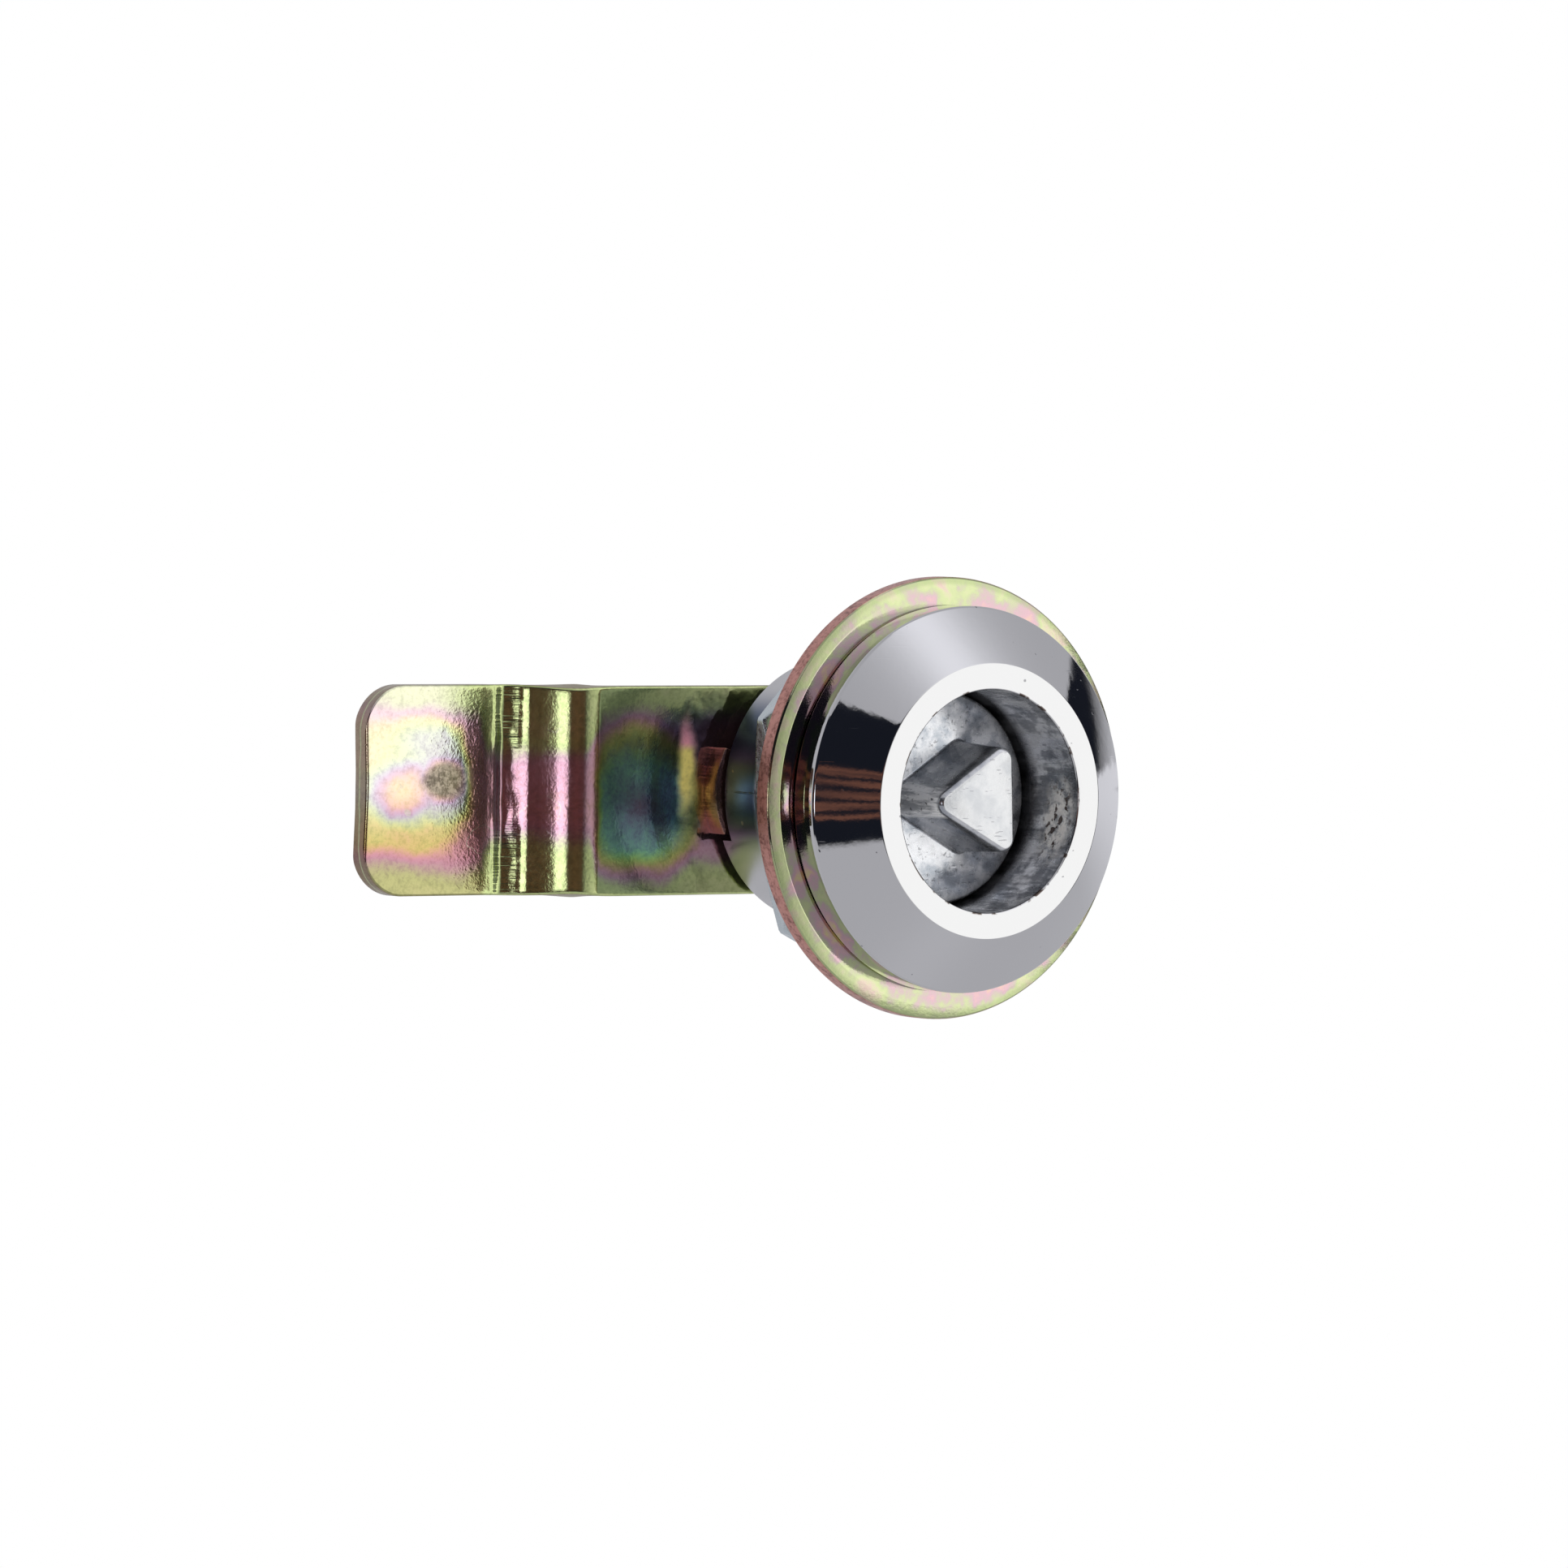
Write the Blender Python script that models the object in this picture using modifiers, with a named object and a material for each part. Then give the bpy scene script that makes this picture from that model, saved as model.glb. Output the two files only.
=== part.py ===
"""Quarter-turn cam lock with a triangular driver, modelled in Blender (metres, +Z up).

The lock's axis is world Y. The head faces -Y, the mounting panel lies against the plane y = 0 and
the cam sits behind it at +Y, pointing to -X. Every piece is modelled in the frame of the empty
"lock_axis", where +Z comes out of the head, +X is world X and +Y is up.
"""

import math

import bmesh
import bpy
from mathutils import Vector

MM = 0.001
GAP = 0.3 * MM  # clearance left between pieces that touch in the real lock
ROUND_STEPS = 40
QUARTER_TURN = math.radians(90)

# Head of the housing, above the mounting plane z = 0.
HEAD_R = 14.5 * MM
HEAD_RIM = 2.4 * MM
RING_R = 10.3 * MM
RING_Z = 5.2 * MM
RECESS_R = 8.35 * MM
RECESS_FLOOR_Z = -1.1 * MM
EDGE = 0.2 * MM

# Threaded barrel of the housing, below the mounting plane.
PITCH = 1.5 * MM
ROWS_PER_PITCH = 6
THREAD_ROOT_R = 10.1 * MM
THREAD_DEPTH = 0.85 * MM
THREAD_TOP_Z = -0.6 * MM
THREAD_TURNS = 6 + 2 / 3
THREAD_BOTTOM_Z = THREAD_TOP_Z - THREAD_TURNS * PITCH
BARREL_R = 10.05 * MM
BARREL_STEP_Z = -14.5 * MM
BARREL_END_Z = -15.8 * MM
BORE_R = 6.0 * MM
SEAT_Z = -3.6 * MM

# Washer and nut that clamp the panel.
WASHER_R = 16.6 * MM
WASHER_T = 1.4 * MM
WASHER_HOLE_R = 11.3 * MM
NUT_FLATS = 28.0 * MM
NUT_TOP_Z = THREAD_TOP_Z - PITCH
NUT_T = 2 * PITCH
NUT_GAP = 0.25 * MM
NUT_TURN = math.radians(8.5)
CHAMFER_SLOPE = math.tan(math.radians(30))

# Spindle: triangular driver, disc, shaft and square end.
DRIVER_Z = 4.8 * MM
DRIVER_TURN = math.radians(2.5)  # it doesn't stand quite square to the cam
TRIANGLE_INRADIUS = 2.65 * MM
TRIANGLE_CORNER_R = 0.95 * MM
TRIANGLE_DRAFT = 1.06  # size at the foot of the driver over its size at the top
DISC_BOTTOM_Z = SEAT_Z + GAP
SHAFT_R = BORE_R - GAP
SHAFT_END_Z = -16.1 * MM
GROOVE_R = 4.4 * MM
GROOVE_Z = -8.0 * MM
GROOVE_W = 1.8 * MM
SQUARE = 8.0 * MM
SQUARE_CORNER_R = 0.4 * MM
SCREW_HOLE_END_Z = -10.5 * MM

# Cam: a plate with a joggle, a square hole and a stop lug.
CAM_T = 1.6 * MM
CAM_FRONT_Z = -16.4 * MM
CAM_W = 15.8 * MM
CAM_TIP_X = -38.9 * MM
CAM_TAIL_X = 9.5 * MM
CAM_TIP_R = 3.6 * MM
CAM_TAIL_R = 5.0 * MM
BEND_START_X = -20.6 * MM
BEND_DROP = 4.15 * MM
BEND_ANGLE = math.radians(48)
BEND_OUTER_R = 4.1 * MM
BEND_INNER_R = 2.1 * MM
LUG_REACH = 10.65 * MM
LUG_FACE_R = 6.5 * MM
LUG_HALF_W = 3.3 * MM
LUG_INNER_R = 7.6 * MM
LUG_TOP_Z = BARREL_STEP_Z - 0.35 * MM
LUG_POCKET_DEPTH = 0.9 * MM
STOP_CLEARANCE = math.radians(3.3)

# Screw that holds the cam, with its washers.
SCREW_R = 3.0 * MM
SCREW_PITCH = 1.0 * MM
SCREW_DEPTH = 0.5 * MM
SCREW_HEAD_FLATS = 10.0 * MM
SCREW_HEAD_T = 4.0 * MM
SCREW_TIP_Z = SCREW_HOLE_END_Z - 0.5 * MM
SCREW_STEPS = 16
FLAT_WASHER_R = 8.0 * MM
FLAT_WASHER_T = 1.2 * MM
SPRING_WASHER_R = 4.1 * MM
SPRING_WIRE = 1.6 * MM
SPRING_RISE = 0.5 * MM
SPRING_GAP = math.radians(14)
CAM_BACK_Z = CAM_FRONT_Z - CAM_T
FLAT_WASHER_Z = CAM_BACK_Z - GAP - FLAT_WASHER_T
SPRING_WASHER_Z = FLAT_WASHER_Z - GAP - SPRING_WIRE / 2 - SPRING_RISE
SCREW_HEAD_Z = SPRING_WASHER_Z - SPRING_WIRE / 2 - GAP

# O-ring in the spindle's groove.
ORING_R = 5.2 * MM
ORING_SECTION_R = 0.5 * MM


def clear_scene():
    for obj in list(bpy.data.objects):
        bpy.data.objects.remove(obj, do_unlink=True)


def add_collection(name):
    collection = bpy.data.collections.new(name)
    bpy.context.scene.collection.children.link(collection)
    return collection


def add_empty(name, collection, parent=None):
    empty = bpy.data.objects.new(name, None)
    empty.parent = parent
    collection.objects.link(empty)
    return empty


def add_material(name, colour, roughness, metallic):
    material = bpy.data.materials.new(name)
    material.use_nodes = True
    shader = material.node_tree.nodes["Principled BSDF"]
    shader.inputs["Base Color"].default_value = (*colour, 1.0)
    shader.inputs["Roughness"].default_value = roughness
    shader.inputs["Metallic"].default_value = metallic
    return material


def add_object(name, data, collection, parent):
    obj = bpy.data.objects.new(name, data)
    obj.parent = parent
    collection.objects.link(obj)
    return obj


def add_cutter(name, data, parent):
    obj = add_object(name, data, cutters, parent)
    obj.hide_render = True
    obj.display_type = "WIRE"
    return obj


def evaluated_mesh(obj):
    """The object's mesh with its modifiers applied, in its own frame."""
    graph = bpy.context.evaluated_depsgraph_get()
    return bpy.data.meshes.new_from_object(obj.evaluated_get(graph))


def turned_mesh(name, profile, steps=ROUND_STEPS):
    """Mesh of a (radius, z) profile turned about Z. A profile that doesn't end on the axis is closed."""
    mesh = bpy.data.meshes.new(name)
    count = len(profile)
    on_axis = profile[0][0] == 0 and profile[-1][0] == 0
    edges = [(i, (i + 1) % count) for i in range(count - 1 if on_axis else count)]
    mesh.from_pydata([(radius, 0, z) for radius, z in profile], edges, [])
    guide = bpy.data.objects.new(name, mesh)
    bpy.context.scene.collection.objects.link(guide)
    turn = guide.modifiers.new("Turn", "SCREW")
    turn.steps = steps
    turn.render_steps = steps
    turn.use_merge_vertices = True
    turn.merge_threshold = 0.00001
    turned = evaluated_mesh(guide)
    bpy.data.objects.remove(guide)
    return turned


def prism_mesh(name, outline, z_low, z_high):
    """Mesh of an (x, y) outline that stands from z_low to z_high."""
    curve = bpy.data.curves.new(name, "CURVE")
    curve.dimensions = "2D"
    curve.fill_mode = "BOTH"
    curve.extrude = (z_high - z_low) / 2
    spline = curve.splines.new("POLY")
    spline.points.add(len(outline) - 1)
    for point, (x, y) in zip(spline.points, outline):
        point.co = (x, y, 0, 1)
    spline.use_cyclic_u = True
    guide = bpy.data.objects.new(name, curve)
    bpy.context.scene.collection.objects.link(guide)
    mesh = evaluated_mesh(guide)
    bpy.data.objects.remove(guide)
    weld(mesh)
    for vertex in mesh.vertices:
        vertex.co.z += (z_low + z_high) / 2
    return mesh


def weld(mesh):
    bm = bmesh.new()
    bm.from_mesh(mesh)
    bmesh.ops.remove_doubles(bm, verts=bm.verts, dist=1e-6)
    bmesh.ops.recalc_face_normals(bm, faces=bm.faces)
    bm.to_mesh(mesh)
    bm.free()


def arc(centre, radius, start, end, steps):
    """Points on an arc from angle start to angle end."""
    angles = [start + (end - start) * i / steps for i in range(steps + 1)]
    return [(centre[0] + radius * math.cos(a), centre[1] + radius * math.sin(a)) for a in angles]


def polygon(sides, inradius, turn=0.0):
    """Corners of a regular polygon, the first at angle turn."""
    radius = inradius / math.cos(math.pi / sides)
    angles = [turn + 2 * math.pi * i / sides for i in range(sides)]
    return [(radius * math.cos(a), radius * math.sin(a)) for a in angles]


def rounded(corners, radii, steps=3):
    """A convex outline, counter-clockwise, with each corner replaced by an arc of its radius."""
    outline = []
    for i, corner in enumerate(corners):
        here = Vector(corner)
        to_last = (Vector(corners[i - 1]) - here).normalized()
        to_next = (Vector(corners[(i + 1) % len(corners)]) - here).normalized()
        half = to_last.angle(to_next) / 2
        centre = here + (to_last + to_next).normalized() * (radii[i] / math.sin(half))
        middle = math.atan2(here.y - centre.y, here.x - centre.x)
        sweep = math.pi / 2 - half
        outline += arc(centre, radii[i], middle - sweep, middle + sweep, steps)
    return outline


def add_boolean(obj, operation, cutter):
    modifier = obj.modifiers.new(cutter.name, "BOOLEAN")
    modifier.operation = operation
    modifier.object = cutter
    return modifier


def shade(obj, material):
    obj.data.materials.clear()
    obj.data.materials.append(material)
    obj.data.shade_smooth()
    obj.data.set_sharp_from_angle(angle=math.radians(30))


def thread_wave(z, angle, pitch):
    """0 at the root and 1 at the crest of a right-hand thread about Z."""
    return 0.5 + 0.5 * math.cos(2 * math.pi * z / pitch - angle)


def cut_thread(mesh, base_r, depth, pitch, runs_out):
    """Moves the points at base_r out onto a thread. runs_out(z) is the largest radius allowed at z."""
    for vertex in mesh.vertices:
        radius = math.hypot(vertex.co.x, vertex.co.y)
        if abs(radius - base_r) > 1e-6:
            continue
        angle = math.atan2(vertex.co.y, vertex.co.x)
        crest = base_r + depth * thread_wave(vertex.co.z, angle, pitch)
        scale = max(base_r, min(crest, runs_out(vertex.co.z))) / radius
        vertex.co.x *= scale
        vertex.co.y *= scale


def thread_rows(z_top, z_bottom, pitch, radius):
    """Profile points down a thread, evenly spaced."""
    count = round((z_top - z_bottom) / pitch * ROWS_PER_PITCH)
    return [(radius, z_top + (z_bottom - z_top) * i / count) for i in range(count + 1)]


def housing_mesh():
    outer = [
        (RECESS_R, RING_Z - EDGE),
        (RECESS_R + EDGE, RING_Z),
        (RING_R - EDGE, RING_Z),
        (RING_R, RING_Z - EDGE),
        (HEAD_R - EDGE, HEAD_RIM + EDGE / 2),
        (HEAD_R, HEAD_RIM - EDGE),
        (HEAD_R, EDGE),
        (HEAD_R - EDGE, 0),
        (THREAD_ROOT_R + THREAD_DEPTH / 2, 0),
        (THREAD_ROOT_R + THREAD_DEPTH / 4, THREAD_TOP_Z / 2),
    ]
    thread = thread_rows(THREAD_TOP_Z, THREAD_BOTTOM_Z, PITCH, THREAD_ROOT_R)
    inner = [
        (BARREL_R, THREAD_BOTTOM_Z - EDGE),
        (BARREL_R, BARREL_END_Z + EDGE),
        (BARREL_R - EDGE, BARREL_END_Z),
        (BORE_R, BARREL_END_Z),
        (BORE_R, SEAT_Z),
        (RECESS_R, SEAT_Z),
    ]
    mesh = turned_mesh("housing", outer + thread + inner)
    cut_thread(mesh, THREAD_ROOT_R, THREAD_DEPTH, PITCH, housing_run_out)
    return mesh


def housing_run_out(z):
    """The thread fades out over its first and last half turn."""
    from_end = min(THREAD_TOP_Z - z, z - THREAD_BOTTOM_Z)
    return THREAD_ROOT_R + THREAD_DEPTH * min(1.0, from_end / (PITCH / 2))


def stop_notch_outline():
    """The sector behind the barrel's step in which the cam's lug swings, from the -X side to above."""
    corner_x, corner_y = lug_outline()[0]
    reach = math.atan2(corner_y, -corner_x) + STOP_CLEARANCE
    start = math.pi + reach
    end = math.pi - QUARTER_TURN - reach
    return [(0, 0)] + arc((0, 0), HEAD_R, end, start, 18)


def make_housing(axis):
    housing = add_object("housing", housing_mesh(), parts, axis)
    notch = prism_mesh("stop_notch", stop_notch_outline(), BARREL_END_Z - MM, BARREL_STEP_Z)
    add_boolean(housing, "DIFFERENCE", add_cutter("stop_notch", notch, axis))
    shade(housing, add_material("chromed_zinc", (0.66, 0.67, 0.70), 0.12, 1.0))


def make_washer(axis):
    top = -GAP
    bottom = top - WASHER_T
    profile = [
        (WASHER_HOLE_R, top),
        (WASHER_R - 3 * EDGE, top),
        (WASHER_R - EDGE, top - EDGE),
        (WASHER_R, top - 3 * EDGE),
        (WASHER_R, bottom),
        (WASHER_HOLE_R, bottom),
    ]
    washer = add_object("face_washer", turned_mesh("face_washer", profile), parts, axis)
    shade(washer, add_material("yellow_zinc_washer", (0.46, 0.52, 0.24), 0.22, 1.0))


def nut_blank_mesh():
    """Round blank with a threaded bore and both outer corners chamfered."""
    face_r = NUT_FLATS / 2 + EDGE
    blank_r = NUT_FLATS / 2 / math.cos(math.pi / 6) + EDGE
    fall = (blank_r - face_r) * CHAMFER_SLOPE
    bottom = NUT_TOP_Z - NUT_T
    bore_r = THREAD_ROOT_R + NUT_GAP
    outer = [
        (face_r, NUT_TOP_Z),
        (blank_r, NUT_TOP_Z - fall),
        (blank_r, bottom + fall),
        (face_r, bottom),
    ]
    bore = thread_rows(bottom, NUT_TOP_Z, -PITCH, bore_r)
    mesh = turned_mesh("hex_nut", outer + bore)
    cut_thread(mesh, bore_r, THREAD_DEPTH, PITCH, lambda z: HEAD_R)
    return mesh


def make_nut(axis):
    nut = add_object("hex_nut", nut_blank_mesh(), parts, axis)
    hexagon = polygon(6, NUT_FLATS / 2, math.pi / 6 + NUT_TURN)
    block = prism_mesh("nut_hexagon", hexagon, NUT_TOP_Z - NUT_T - MM, NUT_TOP_Z + MM)
    add_boolean(nut, "INTERSECT", add_cutter("nut_hexagon", block, axis))
    shade(nut, add_material("blue_zinc_nut", (0.62, 0.67, 0.70), 0.22, 1.0))


def spindle_shaft_mesh():
    disc_r = RECESS_R - GAP
    half = GROOVE_W / 2
    profile = [
        (0, RECESS_FLOOR_Z),
        (disc_r - EDGE, RECESS_FLOOR_Z),
        (disc_r, RECESS_FLOOR_Z - EDGE),
        (disc_r, DISC_BOTTOM_Z),
        (SHAFT_R, DISC_BOTTOM_Z),
        (SHAFT_R, GROOVE_Z + half),
        (GROOVE_R, GROOVE_Z + half),
        (GROOVE_R, GROOVE_Z - half),
        (SHAFT_R, GROOVE_Z - half),
        (SHAFT_R, SHAFT_END_Z),
        (0, SHAFT_END_Z),
    ]
    return turned_mesh("spindle", profile)


def driver_mesh():
    """Triangular driver, with a corner to -X and a little wider at its foot."""
    corners = polygon(3, TRIANGLE_INRADIUS, math.pi + DRIVER_TURN)
    outline = rounded(corners, [TRIANGLE_CORNER_R] * 3)
    mesh = prism_mesh("triangle", outline, RECESS_FLOOR_Z - MM, DRIVER_Z)
    for vertex in mesh.vertices:
        if vertex.co.z < RECESS_FLOOR_Z:
            vertex.co.x *= TRIANGLE_DRAFT
            vertex.co.y *= TRIANGLE_DRAFT
    return mesh


def make_spindle(pivot):
    spindle = add_object("spindle", spindle_shaft_mesh(), parts, pivot)
    square = polygon(4, SQUARE / 2, math.pi / 4)
    square_outline = rounded(square, [SQUARE_CORNER_R] * 4, 2)
    square_end = CAM_BACK_Z + GAP
    square_block = prism_mesh("square", square_outline, square_end, SHAFT_END_Z + MM)
    hole_r = SCREW_R + GAP
    hole_profile = [(0, SCREW_HOLE_END_Z), (hole_r, SCREW_HOLE_END_Z), (hole_r, CAM_BACK_Z), (0, CAM_BACK_Z)]
    hole = turned_mesh("screw_hole", hole_profile, 24)
    add_boolean(spindle, "UNION", add_cutter("triangle", driver_mesh(), pivot))
    add_boolean(spindle, "UNION", add_cutter("square", square_block, pivot))
    add_boolean(spindle, "DIFFERENCE", add_cutter("screw_hole", hole, pivot))
    shade(spindle, add_material("chromed_spindle", (0.62, 0.63, 0.66), 0.25, 1.0))


def make_oring(pivot):
    section = arc((ORING_R, GROOVE_Z), ORING_SECTION_R, 0, -2 * math.pi, 10)[:-1]
    oring = add_object("spindle_oring", turned_mesh("spindle_oring", section, 32), parts, pivot)
    shade(oring, add_material("black_rubber", (0.02, 0.02, 0.02), 0.6, 0.0))


def joggle_side(offset):
    """Points along the cam seen from the side, at this depth below its front face, from root to tip."""
    drop_r = BEND_OUTER_R + BEND_INNER_R
    straight = (BEND_DROP - drop_r * (1 - math.cos(BEND_ANGLE))) / math.sin(BEND_ANGLE)
    run = drop_r * math.sin(BEND_ANGLE) + straight * math.cos(BEND_ANGLE)
    first = (BEND_START_X, CAM_FRONT_Z - BEND_OUTER_R)
    second = (BEND_START_X - run, CAM_FRONT_Z - BEND_DROP + BEND_INNER_R)
    up = math.pi / 2
    outer = arc(first, BEND_OUTER_R - offset, up, up + BEND_ANGLE, 6)
    inner = arc(second, BEND_INNER_R + offset, BEND_ANGLE - up, -up, 6)
    root = (CAM_TAIL_X + MM, CAM_FRONT_Z - offset)
    tip = (CAM_TIP_X - MM, CAM_FRONT_Z - BEND_DROP - offset)
    return [root] + outer + inner + [tip]


def cam_strip_mesh():
    """The bent strip, a little longer than the cam, standing on its side face and then laid flat."""
    outline = joggle_side(0) + joggle_side(CAM_T)[::-1]
    mesh = prism_mesh("cam", outline, -CAM_W, CAM_W)
    for vertex in mesh.vertices:
        x, z, y = vertex.co
        vertex.co = (x, y, z)
    mesh.flip_normals()
    return mesh


def cam_plan_outline():
    half = CAM_W / 2
    corners = [(CAM_TAIL_X, -half), (CAM_TAIL_X, half), (CAM_TIP_X, half), (CAM_TIP_X, -half)]
    return rounded(corners, [CAM_TAIL_R, CAM_TAIL_R, CAM_TIP_R, CAM_TIP_R], 6)


def lug_outline(inset=0.0):
    """Lug on the -X side, with a bulging outer face and radial ends, drawn in by the inset."""
    face_r = LUG_FACE_R - inset
    face_half = math.asin((LUG_HALF_W - inset) / face_r)
    outer = arc((LUG_FACE_R - LUG_REACH, 0), face_r, math.pi - face_half, math.pi + face_half, 8)
    half = math.atan2(outer[0][1], -outer[0][0])
    inner = arc((0, 0), LUG_INNER_R + inset, math.pi + half, math.pi - half, 8)
    return outer + inner


def make_cam(pivot):
    cam = add_object("cam", cam_strip_mesh(), parts, pivot)
    low = CAM_BACK_Z - BEND_DROP - MM
    plan = prism_mesh("cam_plan", cam_plan_outline(), low, CAM_FRONT_Z + MM)
    square = polygon(4, SQUARE / 2 + GAP, math.pi / 4)
    hole = prism_mesh("cam_square_hole", square, low, CAM_FRONT_Z + MM)
    lug = prism_mesh("cam_lug", lug_outline(), CAM_FRONT_Z - CAM_T / 3, LUG_TOP_Z)
    pocket = prism_mesh("lug_pocket", lug_outline(GAP), low, CAM_BACK_Z + LUG_POCKET_DEPTH)
    add_boolean(cam, "INTERSECT", add_cutter("cam_plan", plan, pivot))
    add_boolean(cam, "DIFFERENCE", add_cutter("cam_square_hole", hole, pivot))
    add_boolean(cam, "UNION", add_cutter("cam_lug", lug, pivot))
    add_boolean(cam, "DIFFERENCE", add_cutter("lug_pocket", pocket, pivot))
    shade(cam, add_material("yellow_zinc_cam", (0.55, 0.47, 0.28), 0.25, 1.0))


def make_flat_washer(pivot):
    hole_r = SCREW_R + GAP
    top = FLAT_WASHER_Z + FLAT_WASHER_T
    profile = [
        (hole_r, top),
        (FLAT_WASHER_R - EDGE, top),
        (FLAT_WASHER_R, top - EDGE),
        (FLAT_WASHER_R, FLAT_WASHER_Z),
        (hole_r, FLAT_WASHER_Z),
    ]
    washer = add_object("cam_flat_washer", turned_mesh("cam_flat_washer", profile, 32), parts, pivot)
    shade(washer, add_material("zinc_flat_washer", (0.60, 0.62, 0.64), 0.3, 1.0))


def spring_section():
    """Square section of the spring washer, as the bevel shape of its helix."""
    half = SPRING_WIRE / 2
    curve = bpy.data.curves.new("spring_section", "CURVE")
    curve.dimensions = "2D"
    spline = curve.splines.new("POLY")
    spline.points.add(3)
    for point, (x, y) in zip(spline.points, [(-half, -half), (half, -half), (half, half), (-half, half)]):
        point.co = (x, y, 0, 1)
    spline.use_cyclic_u = True
    return add_cutter("spring_section", curve, None)


def make_spring_washer(pivot):
    steps = 28
    curve = bpy.data.curves.new("cam_spring_washer", "CURVE")
    curve.dimensions = "3D"
    curve.twist_mode = "Z_UP"
    curve.bevel_mode = "OBJECT"
    curve.bevel_object = spring_section()
    curve.use_fill_caps = True
    spline = curve.splines.new("POLY")
    spline.points.add(steps)
    for i, point in enumerate(spline.points):
        part = i / steps
        angle = SPRING_GAP / 2 + (2 * math.pi - SPRING_GAP) * part
        height = SPRING_RISE * part
        point.co = (SPRING_WASHER_R * math.cos(angle), SPRING_WASHER_R * math.sin(angle), height, 1)
    guide = add_object("spring_helix", curve, cutters, None)
    mesh = evaluated_mesh(guide)
    bpy.data.objects.remove(guide)
    weld(mesh)
    washer = add_object("cam_spring_washer", mesh, parts, pivot)
    washer.location = (0, 0, SPRING_WASHER_Z)
    shade(washer, add_material("dark_spring_steel", (0.33, 0.33, 0.34), 0.35, 1.0))


def screw_run_out(z):
    """The screw's thread starts within one turn of its tip and ends at its plain neck."""
    from_end = min(SCREW_TIP_Z - SCREW_DEPTH - z, z - SCREW_HEAD_Z - SCREW_PITCH)
    return SCREW_R - SCREW_DEPTH + SCREW_DEPTH * min(1.0, from_end / SCREW_PITCH)


def screw_mesh():
    root_r = SCREW_R - SCREW_DEPTH
    head_r = SCREW_HEAD_FLATS / 2 / math.cos(math.pi / 6) + EDGE
    head_end = SCREW_HEAD_Z - SCREW_HEAD_T
    crown_r = SCREW_HEAD_FLATS / 2 - EDGE
    thread_top = SCREW_TIP_Z - SCREW_DEPTH
    turns = int((thread_top - SCREW_HEAD_Z - SCREW_PITCH) / SCREW_PITCH)
    thread_bottom = thread_top - turns * SCREW_PITCH
    profile = [(0, SCREW_TIP_Z), (root_r - SCREW_DEPTH, SCREW_TIP_Z)]
    profile += thread_rows(thread_top, thread_bottom, SCREW_PITCH, root_r)
    profile += [
        (root_r + SCREW_DEPTH / 2, thread_bottom - EDGE),
        (root_r + SCREW_DEPTH / 2, SCREW_HEAD_Z),
        (head_r, SCREW_HEAD_Z),
        (head_r, head_end + (head_r - crown_r) * CHAMFER_SLOPE),
        (crown_r, head_end),
        (0, head_end),
    ]
    mesh = turned_mesh("cam_screw", profile, SCREW_STEPS)
    cut_thread(mesh, root_r, SCREW_DEPTH, SCREW_PITCH, screw_run_out)
    return mesh


def make_screw(pivot):
    screw = add_object("cam_screw", screw_mesh(), parts, pivot)
    hexagon = prism_mesh(
        "screw_hexagon",
        polygon(6, SCREW_HEAD_FLATS / 2),
        SCREW_HEAD_Z - SCREW_HEAD_T - MM,
        SCREW_TIP_Z + MM,
    )
    add_boolean(screw, "INTERSECT", add_cutter("screw_hexagon", hexagon, pivot))
    shade(screw, add_material("zinc_screw", (0.64, 0.65, 0.66), 0.3, 1.0))


clear_scene()
parts = add_collection("cam_lock")
cutters = add_collection("cutters")
lock_axis = add_empty("lock_axis", parts)
lock_axis.rotation_euler = (QUARTER_TURN, 0, 0)
spindle_pivot = add_empty("spindle_pivot", parts, lock_axis)
bpy.context.view_layer.update()

make_housing(lock_axis)
make_washer(lock_axis)
make_nut(lock_axis)
make_spindle(spindle_pivot)
make_oring(spindle_pivot)
make_cam(spindle_pivot)
make_flat_washer(spindle_pivot)
make_spring_washer(spindle_pivot)
make_screw(spindle_pivot)
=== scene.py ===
"""Studio scene for the cam lock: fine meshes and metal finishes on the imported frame.

World axes: +Y runs along the lock's axis from the head to the cam, +X is right and +Z is up.
A turned piece is written as (radius, depth) points, where depth is world Y.
"""

import math

import bmesh
import bpy
import numpy as np
from mathutils import Matrix, Vector, noise


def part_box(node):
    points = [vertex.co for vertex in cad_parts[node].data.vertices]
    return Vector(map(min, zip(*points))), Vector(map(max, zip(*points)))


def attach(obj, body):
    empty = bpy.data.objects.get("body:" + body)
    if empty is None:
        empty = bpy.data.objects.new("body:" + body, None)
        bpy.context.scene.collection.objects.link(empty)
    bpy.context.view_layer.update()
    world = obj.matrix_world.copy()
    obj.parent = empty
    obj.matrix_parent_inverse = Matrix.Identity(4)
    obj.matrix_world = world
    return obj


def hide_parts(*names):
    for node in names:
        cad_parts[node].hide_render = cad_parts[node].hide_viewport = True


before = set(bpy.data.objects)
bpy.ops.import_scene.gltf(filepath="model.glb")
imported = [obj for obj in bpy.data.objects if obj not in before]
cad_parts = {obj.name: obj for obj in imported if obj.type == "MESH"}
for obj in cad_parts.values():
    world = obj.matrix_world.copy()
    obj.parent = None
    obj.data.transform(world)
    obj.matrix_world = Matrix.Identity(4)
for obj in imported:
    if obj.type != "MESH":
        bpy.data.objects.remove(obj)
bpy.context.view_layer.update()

MM = 0.001
TURN = 2 * math.pi
GAP = 0.3 * MM  # clearance between pieces that touch in the real lock
STEPS = 192  # facets round a turned piece
SMOOTH_ANGLE = math.radians(32)
SAME_RADIUS = 1e-7

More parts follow.
